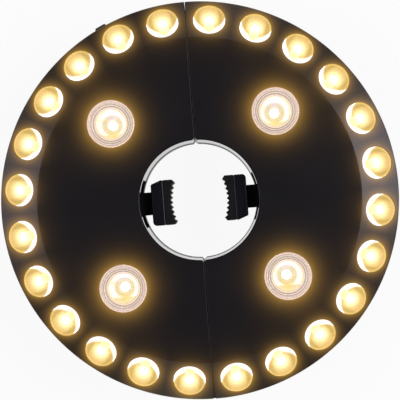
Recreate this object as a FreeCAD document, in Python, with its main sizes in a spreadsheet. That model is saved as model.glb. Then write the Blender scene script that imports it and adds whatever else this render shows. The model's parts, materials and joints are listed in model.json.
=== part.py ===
import FreeCAD, Part
import math
import os
import re
import Sketcher
from FreeCAD import Placement, Rotation, Vector

# A patio umbrella light that closes round the pole. Two half rings are hinged at one end of
# their seam, each carries half of the lamps, and two sprung jaws grip the pole in the middle.
# Millimetres and degrees. The back face rests at z = 0, the lamps face +Z, the seam lies
# along Y, the hinge is at -Y and the jaws slide along X.
# Every piece of a half is drawn on the +X side; the left half is the same drawing turned
# half way round Z.

SIZES = {
    # half ring housing
    "rim_radius": 100,
    "face_height": 36,
    "band_width": 19.5,
    "band_tilt": 22.3,
    "hole_radius": 29.7,
    "parting_drop": 7.6,
    "back_edge_inset": 7,
    "back_edge_round": 2.4,
    "parting_step": 0.8,
    "wall": 2,
    "seam_gap": 0.15,
    "seam_wall_angle": 2.2,
    "hole_notch": 1.2,
    # rim lamps
    "lamp_count": 12,
    "lamp_pitch": 15,
    "lamp_ring_inset": 9.7,
    "cup_radius": 8,
    "cup_clearance": 0.15,
    "cup_lip": 0.35,
    "cup_wall": 0.6,
    "cup_depth": 7,
    "cup_floor_radius": 2.9,
    "flange_reach": 9.2,
    "flange_thickness": 1,
    "bulb_radius": 2.5,
    "bulb_height": 4,
    "bulb_foot": 9,
    # spot lamps
    "spot_ring_radius": 57.9,
    "spot_angle": 45,
    "spot_lens_radius": 11.7,
    "lens_clearance": 0.1,
    "lens_step_one": 10.6,
    "lens_step_two": 9.3,
    "lens_window_radius": 7.4,
    "lens_step": 0.45,
    "lens_rise": 0.5,
    "lens_thickness": 0.9,
    "lens_skirt": 3.1,
    "reflector_wall": 0.7,
    "reflector_floor_radius": 3,
    "reflector_waist_radius": 6,
    "reflector_waist_height": 4.6,
    "emitter_radius": 2.2,
    "emitter_height": 1.6,
    # lamp board
    "board_depth": 14.4,
    "board_thickness": 1.6,
    "board_hole_inset": 10.3,
    "board_rim_inset": 9,
    "board_seam_angle": 0.6,
    "loose_fit": 0.3,
    # screws
    "outer_screw_inset": 26,
    "outer_screw_angle": 75,
    "inner_screw_inset": 7.3,
    "inner_screw_angle": 60,
    "front_boss_radius": 3.5,
    "back_boss_radius": 4.5,
    "screw_radius": 1.5,
    "screw_head_radius": 2.8,
    "screw_head_height": 2,
    "screw_sunk": 1,
    "screw_length": 19,
    "screw_fit": 0.05,
    "screw_slot": 0.7,
    # sprung jaws
    "jaw_lift": 1,
    "jaw_tip": 12.1,
    "jaw_travel": 11,
    "jaw_width": 22.7,
    "jaw_height": 20,
    "jaw_pad_depth": 5.6,
    "jaw_depth": 11.9,
    "jaw_chamfer": 1,
    "jaw_slope_depth": 5,
    "jaw_slope_width": 1.9,
    "jaw_corner": 1.6,
    "tooth_count": 9,
    "tooth_pitch": 2.45,
    "tooth_depth": 1.25,
    "tooth_arc_radius": 29,
    "tooth_end_cut": 1.2,
    "stem_width": 11.6,
    "stem_height": 11,
    "stem_bore_radius": 3.5,
    "collar_width": 15,
    "collar_height": 14,
    "collar_thickness": 2,
    "slide_clearance": 0.2,
    "guide_wall": 1.5,
    "guide_bridge": 3,
    "pocket_clearance": 0.6,
    "jaw_coil_radius": 2.7,
    "jaw_wire_radius": 0.4,
    "jaw_coil_turns": 12,
    # cells and battery door
    "cell_radius": 7.25,
    "cell_length": 50.5,
    "cell_nub_radius": 2.75,
    "cell_nub_length": 1,
    "cell_gap": 0.4,
    "bay_inset": 14,
    "bay_side_room": 0.5,
    "bay_end_room": 2.75,
    "bay_wall": 1.6,
    "door_clearance": 0.2,
    "door_sunk": 0.3,
    "door_thickness": 1.7,
    "thumb_groove_width": 14,
    "thumb_groove_depth": 0.6,
    "contact_thickness": 0.4,
    "contact_width": 11,
    "contact_setback": 1.95,
    # hanging bail in the back
    "bail_inset": 8.5,
    "bail_pivot_height": 1.7,
    "bail_wire_radius": 1.1,
    "bail_reach": 12.3,
    "bail_half_span": 15.2,
    "bail_foot": 3.5,
    "bail_bend": 2.2,
    "bail_clearance": 0.15,
    "recess_margin": 0.9,
    "recess_depth": 3.4,
    "recess_roof": 1.4,
    # hinge of the two halves
    "hinge_inset": 3,
    "knuckle_radius": 3,
    "hinge_clearance": 0.35,
    "knuckle_height": 2.1,
    "knuckle_gap": 0.2,
    "hinge_spring_space": 3,
    "hinge_relief_angle": 13.5,
    "pin_radius": 1.2,
    "pin_fit": 0.06,
    "hinge_coil_radius": 1.75,
    "hinge_wire_radius": 0.25,
    "hinge_coil_turns": 3.5,
    "hinge_leg_length": 5.5,
    # cable between the boards
    "cable_inset": 13,
    "cable_drop": 4.2,
    "cable_radius": 0.9,
    "cable_bend": 2.2,
    "cable_half_length": 9,
    "cable_slot": 1.6,
    # mode button on the rim of the left half
    "button_azimuth": 115.5,
    "button_drop": 1.6,
    "button_width": 6,
    "button_height": 5,
    "button_proud": 2,
    "button_round": 0.8,
    "button_collar": 1.2,
    "button_collar_depth": 2.4,
    "button_clearance": 0.15,
    "switch_depth": 6.5,
    "switch_height": 5,
    "plunger_radius": 1.2,
    "plunger_gap": 0.9,
}

# Places and sizes that follow from the ones above.
FOLLOWING = {
    "crease_radius": "rim_radius - band_width",
    "back_edge_radius": "rim_radius - back_edge_inset",
    "lamp_ring_radius": "rim_radius - lamp_ring_inset",
    "board_height": "face_height - board_depth",
    "board_inner_radius": "hole_radius + board_hole_inset",
    "board_outer_radius": "rim_radius - board_rim_inset",
    "parting_height": "board_height - parting_drop",
    "outer_screw_radius": "rim_radius - outer_screw_inset",
    "inner_screw_radius": "hole_radius + inner_screw_inset",
    "jaw_centre_height": "face_height / 2 + jaw_lift",
    "bay_width": "cell_radius * 4 + bay_side_room * 2",
    "bay_length": "cell_length + bay_end_room * 2",
    "bay_inner_edge": "rim_radius - bay_inset - bay_width",
    "bail_pivot_place": "hole_radius + bail_inset",
    "cable_place": "rim_radius - cable_inset",
    "cable_height": "board_height - cable_drop",
    "button_centre_height": "board_height - button_drop",
}

# Formulas that several pieces share.
BAND_EDGE = "(face_height - (rim_radius - crease_radius) * tan(band_tilt))"
LAMP_HEIGHT = "(face_height - (lamp_ring_radius - crease_radius) * tan(band_tilt))"
INNER_BAND_EDGE = f"({BAND_EDGE} + wall * tan(band_tilt) - wall / cos(band_tilt))"
INNER_CREASE = "(crease_radius - wall * (1 / cos(band_tilt) - 1) / tan(band_tilt))"
FIRST_LAMP = "lamp_pitch * (1 - lamp_count) / 2"
BOARD_TOP = "(board_height + board_thickness)"
SPOT_X = "spot_ring_radius * cos(spot_angle)"
SPOT_Y = "spot_ring_radius * sin(spot_angle)"
JAW_BACK = "(jaw_tip + jaw_depth)"
POCKET_HALF_WIDTH = "(jaw_width / 2 + pocket_clearance)"
POCKET_HALF_HEIGHT = "(jaw_height / 2 + pocket_clearance)"
GUIDE_OPENING = f"({POCKET_HALF_HEIGHT} + guide_wall + screw_fit * 2)"
POCKET_FLOOR = "(jaw_tip + jaw_depth + jaw_travel + slide_clearance * 2)"
GUIDE_BACK = f"({POCKET_FLOOR} + guide_bridge)"
COLLAR_BACK = f"({GUIDE_BACK} + slide_clearance + collar_thickness)"
CHAMBER_END = f"({COLLAR_BACK} + jaw_travel + slide_clearance * 2)"
SPRING_SEAT = f"({JAW_BACK} + guide_wall * 2)"
CELL_HEIGHT = "(door_sunk + door_thickness + cell_gap + cell_radius)"
INNER_CELL = "(bay_inner_edge + bay_width / 2 - cell_radius)"
OUTER_CELL = "(bay_inner_edge + bay_width / 2 + cell_radius)"
BAY_OUTER_EDGE = "(bay_inner_edge + bay_width)"
HINGE_PLACE = "(rim_radius - hinge_inset)"
LEFT_LOW = "(parting_height + knuckle_gap)"
RIGHT_LOW = f"({LEFT_LOW} + knuckle_height + knuckle_gap)"
SPRING_LOW = f"({RIGHT_LOW} + knuckle_height)"
RIGHT_HIGH = f"({SPRING_LOW} + hinge_spring_space)"
LEFT_HIGH = f"({RIGHT_HIGH} + knuckle_height + knuckle_gap)"
STACK_TOP = f"({LEFT_HIGH} + knuckle_height)"
SCREWS = (("outer_screw_radius", "outer_screw_angle"), ("inner_screw_radius", "inner_screw_angle"))

# The turn about Z that takes the drawing to its half, and the sign of Y at the hinge there.
HALVES = {"left": (180, 1), "right": (0, -1)}

doc = FreeCAD.newDocument("patio_umbrella_light")
dims = doc.addObject("Spreadsheet::Sheet", "dims")
for row, (size_name, size_value) in enumerate(SIZES.items(), 1):
    dims.set(f"A{row}", size_name)
    dims.set(f"B{row}", str(size_value))
    dims.setAlias(f"B{row}", size_name)
doc.recompute()

SIZE_NAME = re.compile(r"[a-z][a-z_]+")


def cell(word):
    """A size's cell, or the cells that it follows from; other words stay as they are."""
    if word[0] in FOLLOWING:
        return f"({bound(FOLLOWING[word[0]])})"
    return f"dims.{word[0]}" if word[0] in SIZES else word[0]


def bound(formula):
    """A formula in size names, written as the sheet's cells."""
    return SIZE_NAME.sub(cell, str(formula))


def size(name):
    """The number in one cell of the sheet."""
    return float(dims.get(name))


def jaw_middle():
    return size("face_height") / 2 + size("jaw_lift")


def board_underside():
    return size("face_height") - size("board_depth")


def new_body(label, turn=0):
    body = doc.addObject("PartDesign::Body", label)
    body.Label = label
    body.Placement = Placement(Vector(0, 0, 0), Rotation(Vector(0, 0, 1), turn))
    return body


def new_feature(label, shape, placement):
    feature = doc.addObject("Part::Feature", label)
    feature.Label = label
    feature.Shape = shape
    feature.Placement = placement
    return feature


def new_sketch(body, role, lift=None, turn=None):
    """A sketch on one of the body's own planes, lifted off it or turned about the body's Z."""
    sketch = body.newObject("Sketcher::SketchObject", "outline")
    plane = next(part for part in body.Origin.OriginFeatures if part.Role == role)
    sketch.AttachmentSupport = (plane, [""])
    sketch.MapMode = "FlatFace"
    if turn is not None:
        axis = Vector(0, 0, 1) if role == "XY_Plane" else Vector(0, 1, 0)
        sketch.AttachmentOffset = Placement(Vector(0, 0, 0), Rotation(axis, 1))
        sketch.setExpression("AttachmentOffset.Rotation.Angle", bound(turn))
    if lift is not None:
        sketch.setExpression("AttachmentOffset.Base.z", bound(lift))
    return sketch


def pin_point(sketch, edge, end, place):
    """Ties one end of a sketch line to two formulas."""
    for kind, formula in zip(("DistanceX", "DistanceY"), place):
        index = sketch.addConstraint(Sketcher.Constraint(kind, -1, 1, edge, end, 1.0))
        sketch.setExpression(f"Constraints[{index}]", bound(formula))


def polygon(sketch, points):
    count = len(points)
    first = sketch.GeometryCount
    spread = [Vector(10 * math.cos(math.tau * k / count), 10 * math.sin(math.tau * k / count), 0)
              for k in range(count)]
    for k in range(count):
        sketch.addGeometry(Part.LineSegment(spread[k], spread[(k + 1) % count]), False)
    for k in range(count):
        following = first + (k + 1) % count
        sketch.addConstraint(Sketcher.Constraint("Coincident", first + k, 2, following, 1))
    for k, place in enumerate(points):
        pin_point(sketch, first + k, 1, place)


def rectangle(sketch, x_range, y_range):
    corners = [(x, y) for x, y in zip((*x_range, *reversed(x_range)), (y_range[0],) * 2 + (y_range[1],) * 2)]
    polygon(sketch, corners)


def circle(sketch, place, radius):
    edge = sketch.addGeometry(Part.Circle(Vector(1, 1, 0), Vector(0, 0, 1), 1), False)
    pin_point(sketch, edge, 3, place)
    index = sketch.addConstraint(Sketcher.Constraint("Radius", edge, 1.0))
    sketch.setExpression(f"Constraints[{index}]", bound(radius))


def axis_line(sketch, start, end):
    """A construction line that a profile turns about."""
    edge = sketch.addGeometry(Part.LineSegment(Vector(0, 0, 0), Vector(0, 5, 0)), True)
    pin_point(sketch, edge, 1, start)
    pin_point(sketch, edge, 2, end)


def extrude(body, sketch, z_range, cut=False):
    """Everything extruded here goes up from its sketch, so a pocket is turned over."""
    feature = body.newObject("PartDesign::Pocket" if cut else "PartDesign::Pad", "extrusion")
    feature.Profile = sketch
    feature.Reversed = cut
    feature.setExpression("Length", bound(f"({z_range[1]}) - ({z_range[0]})"))
    return feature


def block(body, x_range, y_range, z_range, cut=False, turn=None):
    sketch = new_sketch(body, "XY_Plane", z_range[0], turn)
    rectangle(sketch, x_range, y_range)
    return extrude(body, sketch, z_range, cut)


def rods(body, places, radius, z_range, cut=False):
    sketch = new_sketch(body, "XY_Plane", z_range[0])
    for place in places:
        circle(sketch, place, radius)
    return extrude(body, sketch, z_range, cut)


def prism(body, points, z_range, cut=False):
    sketch = new_sketch(body, "XY_Plane", z_range[0])
    polygon(sketch, points)
    return extrude(body, sketch, z_range, cut)


def turned(body, sketch, angle="360", axis="V_Axis", cut=False):
    feature = body.newObject("PartDesign::Groove" if cut else "PartDesign::Revolution", "turning")
    feature.Profile = sketch
    feature.ReferenceAxis = (sketch, [axis])
    feature.Midplane = True
    feature.setExpression("Angle", bound(angle))
    return feature


def chamfer(body, feature, edge_names, width):
    bevel = body.newObject("PartDesign::Chamfer", "bevel")
    bevel.Base = (feature, edge_names)
    bevel.setExpression("Size", bound(width))
    return bevel


def level_edges(feature, heights):
    """Names of the feature's edges that lie flat at one of these heights."""
    names = []
    for number, edge in enumerate(feature.Shape.Edges, 1):
        low, high = edge.BoundBox.ZMin, edge.BoundBox.ZMax
        if any(abs(low - height) < 1e-4 and abs(high - height) < 1e-4 for height in heights):
            names.append(f"Edge{number}")
    return names


def lamp_point(across, out):
    """A point beside a rim lamp: across its mouth, and out along its axis from the band."""
    return (f"lamp_ring_radius + ({across}) * cos(band_tilt) + ({out}) * sin(band_tilt)",
            f"{LAMP_HEIGHT} - ({across}) * sin(band_tilt) + ({out}) * cos(band_tilt)")


def lamp_turning(body, profile, cut=False):
    """Turns a profile about the axis of the first rim lamp."""
    sketch = new_sketch(body, "XZ_Plane", turn=FIRST_LAMP)
    polygon(sketch, [lamp_point(across, out) for across, out in profile])
    axis_line(sketch, lamp_point("0", profile[0][1]), lamp_point("0", profile[-1][1]))
    return turned(body, sketch, axis="Axis0", cut=cut)


def repeat_lamps(body, originals):
    pattern = body.newObject("PartDesign::PolarPattern", "lamps")
    pattern.Originals = originals
    axis = next(part for part in body.Origin.OriginFeatures if part.Role == "Z_Axis")
    pattern.Axis = (axis, [""])
    pattern.setExpression("Angle", bound("lamp_pitch * (lamp_count - 1)"))
    pattern.setExpression("Occurrences", bound("lamp_count"))
    body.Tip = pattern


def screw_places():
    return [(f"{radius} * cos({angle})", f"{sign} * {radius} * sin({angle})")
            for radius, angle in SCREWS for sign in (1, -1)]


def seam_cuts(body, hinge_sign):
    """The clear seam, its bevels at the hole, and the relief that lets the hinge open."""
    whole = ("-1", "face_height + 1")
    block(body, ("-1", "seam_gap"), ("-rim_radius - 1", "rim_radius + 1"), whole, cut=True)
    for sign in (1, -1):
        prism(body, [("-1", f"{sign} * (hole_radius + hole_notch + 1)"),
                     ("hole_notch + 1", f"{sign} * (hole_radius - 1)"),
                     ("-1", f"{sign} * (hole_radius - 1)")], whole, cut=True)
    prism(body, [("-1", f"{hinge_sign} * {HINGE_PLACE}"),
                 ("0", f"{hinge_sign} * {HINGE_PLACE}"),
                 ("(hinge_inset + 1) * tan(hinge_relief_angle)", f"{hinge_sign} * (rim_radius + 1)"),
                 ("-1", f"{hinge_sign} * (rim_radius + 1)")], whole, cut=True)


def knuckles(body, side):
    """Clears the other half's knuckles and the spring, then adds this half's two."""
    axis = ("0", f"{HALVES[side][1]} * {HINGE_PLACE}")
    clear = "knuckle_radius + hinge_clearance"
    if side == "left":
        rods(body, [axis], clear, (f"{RIGHT_LOW} - knuckle_gap", LEFT_HIGH), cut=True)
        own = (LEFT_LOW, LEFT_HIGH)
    else:
        rods(body, [axis], clear, ("parting_height - 1", RIGHT_LOW), cut=True)
        rods(body, [axis], clear, (SPRING_LOW, RIGHT_HIGH), cut=True)
        rods(body, [axis], clear, (f"{LEFT_HIGH} - knuckle_gap", f"{STACK_TOP} + knuckle_gap"), cut=True)
        own = (RIGHT_LOW, RIGHT_HIGH)
    for low in own:
        rods(body, [axis], "knuckle_radius", (low, f"{low} + knuckle_height"))
    rods(body, [axis], "pin_radius + pin_fit", ("parting_height - 1", f"{STACK_TOP}"), cut=True)
    sign = HALVES[side][1]
    leg_end = f"{sign} * ({HINGE_PLACE} - hinge_leg_length - hinge_clearance)"
    block(body, ("0", "hinge_coil_radius + hinge_wire_radius + hinge_clearance"),
          (leg_end, f"{sign} * {HINGE_PLACE}"),
          (SPRING_LOW, RIGHT_HIGH), cut=True)


def front_cover(side):
    """Face, sloping lamp band and rim wall in one shell, open at the back."""
    turn, hinge_sign = HALVES[side]
    body = new_body(f"front_cover_{side}", turn)
    sketch = new_sketch(body, "XZ_Plane")
    polygon(sketch, [("hole_radius", "parting_height"), ("rim_radius", "parting_height"),
                     ("rim_radius", BAND_EDGE), ("crease_radius", "face_height"),
                     ("hole_radius", "face_height")])
    turned(body, sketch, "180")
    sketch = new_sketch(body, "XZ_Plane")
    polygon(sketch, [("hole_radius + wall", "parting_height - 1"), ("rim_radius - wall", "parting_height - 1"),
                     ("rim_radius - wall", INNER_BAND_EDGE), (INNER_CREASE, "face_height - wall"),
                     ("hole_radius + wall", "face_height - wall")])
    turned(body, sketch, "180 - 2 * seam_wall_angle", cut=True)
    rods(body, screw_places(), "front_boss_radius", ("parting_height", "face_height - wall / 2"))
    rods(body, screw_places(), "screw_radius + screw_fit",
         ("parting_height - 1", "screw_sunk + screw_length + 1"), cut=True)
    seam_cuts(body, hinge_sign)
    knuckles(body, side)
    slot = "cable_radius + cable_slot / 2"
    block(body, ("-1", "rim_radius / 10"),
          (f"{hinge_sign} * cable_place - ({slot})", f"{hinge_sign} * cable_place + {slot}"),
          (f"cable_height - ({slot})", f"cable_height + {slot}"), cut=True)
    block(body, ("hole_radius * 0.8", "hole_radius + wall * 1.5"),
          (f"-{POCKET_HALF_WIDTH}", POCKET_HALF_WIDTH),
          ("parting_height - 1", f"jaw_centre_height + {GUIDE_OPENING}"), cut=True)
    rods(body, [(SPOT_X, SPOT_Y), (SPOT_X, f"-{SPOT_Y}")], "spot_lens_radius + lens_clearance",
         ("face_height - wall * 1.5", "face_height + 1"), cut=True)
    if side == "left":
        half_width = "button_width / 2 + button_clearance"
        half_height = "button_height / 2 + button_clearance"
        block(body, ("rim_radius - wall * 2", "rim_radius + 1"), (f"-({half_width})", half_width),
              (f"button_centre_height - ({half_height})", f"button_centre_height + {half_height}"),
              cut=True, turn="button_azimuth - 180")
    mouth = "cup_radius + cup_clearance"
    hole = lamp_turning(body, [("0", "1"), (mouth, "1"), (mouth, "-wall * 1.5"), ("0", "-wall * 1.5")],
                        cut=True)
    repeat_lamps(body, [hole])


def back_cover(side):
    """The dished back with its floor, battery bay, bail recess and screw bosses."""
    turn, hinge_sign = HALVES[side]
    body = new_body(f"back_cover_{side}", turn)
    sketch = new_sketch(body, "XZ_Plane")
    polygon(sketch, [("hole_radius", "0"), ("back_edge_radius", "0"),
                     ("back_edge_radius + back_edge_round", "back_edge_round * 0.7"),
                     ("rim_radius - parting_step", "parting_height"), ("hole_radius", "parting_height")])
    turned(body, sketch, "180")
    sketch = new_sketch(body, "XZ_Plane")
    polygon(sketch, [("hole_radius + wall", "wall"), ("back_edge_radius - wall / 4", "wall"),
                     ("rim_radius - parting_step - wall", "parting_height + 1"),
                     ("hole_radius + wall", "parting_height + 1")])
    turned(body, sketch, "180 - 2 * seam_wall_angle", cut=True)
    rods(body, screw_places(), "back_boss_radius", ("wall / 2", "parting_height"))
    bay_top = "board_height - loose_fit"
    block(body, ("bay_inner_edge - bay_wall", f"{BAY_OUTER_EDGE} + bay_wall"),
          ("-bay_length / 2 - bay_wall", "bay_length / 2 + bay_wall"), ("wall / 2", bay_top))
    recess_side = "bail_half_span + bail_wire_radius + recess_margin"
    recess_near = "bail_pivot_place - bail_wire_radius - recess_margin"
    recess_far = "bail_pivot_place + bail_reach + bail_wire_radius + recess_margin"
    foot_end = "bail_half_span + bail_foot + bail_clearance"
    block(body, (f"{recess_near} - bay_wall", "bay_inner_edge - bay_wall / 2"),
          (f"-({foot_end} + recess_roof)", f"{foot_end} + recess_roof"),
          ("wall / 2", "recess_depth + recess_roof"))
    for sign in (1, -1):
        block(body, (f"{POCKET_FLOOR} + guide_bridge", f"{CHAMBER_END}"),
              (f"{sign} * (stem_width / 2 + bay_wall / 2) - bay_wall / 2",
               f"{sign} * (stem_width / 2 + bay_wall / 2) + bay_wall / 2"),
              ("recess_depth + recess_roof / 2",
               "jaw_centre_height - collar_height / 2 - slide_clearance - guide_wall - loose_fit"))
    block(body, ("bay_inner_edge", BAY_OUTER_EDGE), ("-bay_length / 2", "bay_length / 2"),
          ("-1", f"{bay_top} + 1"), cut=True)
    block(body, (recess_near, recess_far), (f"-({recess_side})", recess_side),
          ("-1", "recess_depth"), cut=True)
    for sign in (1, -1):
        sketch = new_sketch(body, "XY_Plane", "bail_pivot_height")
        rectangle(sketch, ("bail_pivot_place", "bail_pivot_place + bail_wire_radius + bail_clearance"),
                  (f"{sign} * ({recess_side} - recess_margin / 2)", f"{sign} * ({foot_end})"))
        axis_line(sketch, ("bail_pivot_place", "0"), ("bail_pivot_place", "bail_half_span"))
        turned(body, sketch, axis="Axis0", cut=True)
    rods(body, screw_places(), "screw_head_radius + loose_fit", ("-1", "screw_sunk + screw_head_height"),
         cut=True)
    rods(body, screw_places(), "screw_radius + slide_clearance", ("0", "parting_height + 1"), cut=True)
    block(body, ("hole_radius * 0.8", "hole_radius + wall * 1.5"),
          (f"-{POCKET_HALF_WIDTH}", POCKET_HALF_WIDTH),
          (f"jaw_centre_height - {GUIDE_OPENING}", "parting_height + 1"), cut=True)
    seam_cuts(body, hinge_sign)


def led_board(side):
    """The half ring circuit board that carries this half's lamps."""
    body = new_body(f"led_board_{side}", HALVES[side][0])
    sketch = new_sketch(body, "XZ_Plane")
    rectangle(sketch, ("board_inner_radius", "board_outer_radius"), ("board_height", BOARD_TOP))
    turned(body, sketch, "180 - 2 * (seam_wall_angle + board_seam_angle)")
    through = ("board_height - 1", f"{BOARD_TOP} + 1")
    clear = "collar_width / 2 + slide_clearance + guide_wall + loose_fit"
    pocket_clear = f"{POCKET_HALF_WIDTH} + guide_wall + loose_fit"
    block(body, ("0", f"{GUIDE_BACK} + loose_fit"), (f"-({pocket_clear})", pocket_clear), through, cut=True)
    block(body, ("0", f"{CHAMBER_END} + guide_wall + loose_fit"), (f"-({clear})", clear), through, cut=True)
    rods(body, screw_places(), "front_boss_radius + loose_fit", through, cut=True)


def rim_reflector(side):
    """One moulding with twelve tilted cups on a strip under the band."""
    body = new_body(f"rim_reflector_{side}", HALVES[side][0])
    top = "-wall - cup_clearance"
    bottom = f"{top} - flange_thickness"
    sketch = new_sketch(body, "XZ_Plane")
    polygon(sketch, [lamp_point(across, out) for across, out in (
        ("-flange_reach", top), ("cup_radius + cup_lip", top),
        ("cup_radius + cup_lip", bottom), ("-flange_reach", bottom))])
    turned(body, sketch, "180 - 2 * (seam_wall_angle + board_seam_angle)")
    cup = lamp_turning(body, [("0", "0"), ("cup_radius", "0"), ("cup_radius", bottom),
                              ("cup_floor_radius + cup_wall", "-cup_depth - cup_wall"),
                              ("0", "-cup_depth - cup_wall")])
    bowl = lamp_turning(body, [("0", "1"), ("cup_radius - cup_lip", "1"), ("cup_radius - cup_lip", "0"),
                               ("cup_radius * 0.86", "-cup_depth * 0.4"),
                               ("cup_radius * 0.64", "-cup_depth * 0.78"),
                               ("cup_floor_radius", "-cup_depth"),
                               ("cup_floor_radius", "-cup_depth - 1"), ("0", "-cup_depth - 1")], cut=True)
    repeat_lamps(body, [cup, bowl])


def rim_leds(side):
    """Twelve bulbs that stand on the board and shine up through the cups."""
    body = new_body(f"rim_leds_{side}", HALVES[side][0])
    bulb = lamp_turning(body, [("0", "-bulb_height"), ("bulb_radius * 0.5", "-bulb_height - bulb_radius * 0.14"),
                               ("bulb_radius * 0.87", "-bulb_height - bulb_radius * 0.5"),
                               ("bulb_radius", "-bulb_height - bulb_radius"),
                               ("bulb_radius", "-cup_depth - cup_wall"),
                               ("bulb_radius * 0.4", "-cup_depth - cup_wall"),
                               ("bulb_radius * 0.4", "-bulb_foot"), ("0", "-bulb_foot")])
    repeat_lamps(body, [bulb])


def place_spot(body, side, sign):
    turn = HALVES[side][0]
    half = 1 if turn == 0 else -1
    body.setExpression("Placement.Base.x", bound(f"{half} * {SPOT_X}"))
    body.setExpression("Placement.Base.y", bound(f"{sign} * {SPOT_Y}"))


def spot_lens(side, name, sign):
    """A clear stepped lens round one spot lamp."""
    body = new_body(f"spot_lens_{name}_{side}")
    sketch = new_sketch(body, "XZ_Plane")
    top = "face_height + lens_rise"
    window = f"{top} - lens_step * 3"
    polygon(sketch, [("0", f"{window} - lens_thickness"), ("0", window), ("lens_window_radius", window),
                     ("lens_window_radius", f"{top} - lens_step * 2"),
                     ("lens_step_two", f"{top} - lens_step * 2"), ("lens_step_two", f"{top} - lens_step"),
                     ("lens_step_one", f"{top} - lens_step"), ("lens_step_one", top),
                     ("spot_lens_radius", top), ("spot_lens_radius", f"{top} - lens_skirt"),
                     ("lens_step_two", f"{top} - lens_skirt"),
                     ("lens_step_two", f"{window} - lens_thickness")])
    turned(body, sketch)
    place_spot(body, side, sign)


def spot_reflector(side, name, sign):
    """The bright cone between a spot lamp's emitter and its lens."""
    body = new_body(f"spot_reflector_{name}_{side}")
    mouth = "face_height + lens_rise - lens_step * 3 - lens_thickness - cup_clearance"
    sketch = new_sketch(body, "XZ_Plane")
    foot = f"{BOARD_TOP} + cup_clearance"
    waist = f"{BOARD_TOP} + reflector_waist_height"
    polygon(sketch, [("lens_window_radius", mouth), ("lens_window_radius + reflector_wall", mouth),
                     ("reflector_waist_radius + reflector_wall", waist),
                     ("reflector_floor_radius + reflector_wall", foot), ("reflector_floor_radius", foot),
                     ("reflector_waist_radius", waist)])
    turned(body, sketch)
    place_spot(body, side, sign)


def spot_leds(side):
    """The two emitters of this half's spot lamps, soldered on the board."""
    body = new_body(f"spot_leds_{side}", HALVES[side][0])
    rods(body, [(SPOT_X, SPOT_Y), (SPOT_X, f"-{SPOT_Y}")], "emitter_radius",
         (f"{BOARD_TOP} + screw_fit", f"{BOARD_TOP} + screw_fit + emitter_height"))


def jaw_guide(side):
    """The sleeve that a jaw slides in: a wide pocket for the head, a chamber for the collar."""
    body = new_body(f"jaw_guide_{side}", HALVES[side][0])
    start = "hole_radius - screw_fit * 2"
    outer_half_width = f"{POCKET_HALF_WIDTH} + guide_wall"
    outer_half_height = f"{POCKET_HALF_HEIGHT} + guide_wall"
    block(body, (start, GUIDE_BACK), (f"-({outer_half_width})", outer_half_width),
          (f"jaw_centre_height - ({outer_half_height})", f"jaw_centre_height + {outer_half_height}"))
    chamber_half_width = "(collar_width / 2 + slide_clearance)"
    chamber_half_height = "(collar_height / 2 + slide_clearance)"
    block(body, (f"{GUIDE_BACK} - guide_bridge / 2", f"{CHAMBER_END} + guide_wall"),
          (f"-{chamber_half_width} - guide_wall", f"{chamber_half_width} + guide_wall"),
          (f"jaw_centre_height - {chamber_half_height} - guide_wall",
           f"jaw_centre_height + {chamber_half_height} + guide_wall"))
    block(body, ("0", POCKET_FLOOR), (f"-{POCKET_HALF_WIDTH}", POCKET_HALF_WIDTH),
          (f"jaw_centre_height - {POCKET_HALF_HEIGHT}", f"jaw_centre_height + {POCKET_HALF_HEIGHT}"), cut=True)
    block(body, (GUIDE_BACK, CHAMBER_END), (f"-{chamber_half_width}", chamber_half_width),
          (f"jaw_centre_height - {chamber_half_height}", f"jaw_centre_height + {chamber_half_height}"), cut=True)
    throat_half_width = "(stem_width / 2 + slide_clearance)"
    throat_half_height = "(stem_height / 2 + slide_clearance)"
    block(body, ("0", f"{GUIDE_BACK} + 1"), (f"-{throat_half_width}", throat_half_width),
          (f"jaw_centre_height - {throat_half_height}", f"jaw_centre_height + {throat_half_height}"), cut=True)


def jaw_slider(side):
    """The jaw's head and its hollow square stem with the collar that keeps it in."""
    body = new_body(f"jaw_slider_{side}", HALVES[side][0])
    half_width, half_height = "jaw_width / 2", "jaw_height / 2"
    head = prism(body, [("jaw_tip + jaw_pad_depth", f"-{half_width}"),
                        (f"{JAW_BACK} - jaw_slope_depth", f"-{half_width}"),
                        (JAW_BACK, f"-{half_width} + jaw_slope_width"),
                        (JAW_BACK, f"{half_width} - jaw_corner"),
                        (f"{JAW_BACK} - jaw_corner * 0.3", f"{half_width} - jaw_corner * 0.3"),
                        (f"{JAW_BACK} - jaw_corner", half_width), ("jaw_tip + jaw_pad_depth", half_width)],
                 (f"jaw_centre_height - {half_height}", f"jaw_centre_height + {half_height}"))
    doc.recompute()
    middle, reach = jaw_middle(), size("jaw_height") / 2
    back_edges = [name for name in level_edges(head, (middle - reach, middle + reach))
                  if head.Shape.getElement(name).BoundBox.XMax > size("jaw_tip") + size("jaw_pad_depth") + 1e-3]
    chamfer(body, head, back_edges, "jaw_chamfer")
    block(body, (f"{JAW_BACK} - 1", COLLAR_BACK), ("-stem_width / 2", "stem_width / 2"),
          ("jaw_centre_height - stem_height / 2", "jaw_centre_height + stem_height / 2"))
    block(body, (f"{COLLAR_BACK} - collar_thickness", COLLAR_BACK), ("-collar_width / 2", "collar_width / 2"),
          ("jaw_centre_height - collar_height / 2", "jaw_centre_height + collar_height / 2"))
    sketch = new_sketch(body, "XY_Plane", "jaw_centre_height")
    rectangle(sketch, (SPRING_SEAT, f"{COLLAR_BACK} + 1"), ("0", "stem_bore_radius"))
    turned(body, sketch, axis="H_Axis", cut=True)


def tooth_place(y):
    """Where the jaw's hollow face lies across its width."""
    half_span = "(tooth_pitch * (tooth_count - 1) / 2)"
    return f"jaw_tip + sqrt(tooth_arc_radius ^ 2 - ({y}) ^ 2) - sqrt(tooth_arc_radius ^ 2 - {half_span} ^ 2)"


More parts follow.
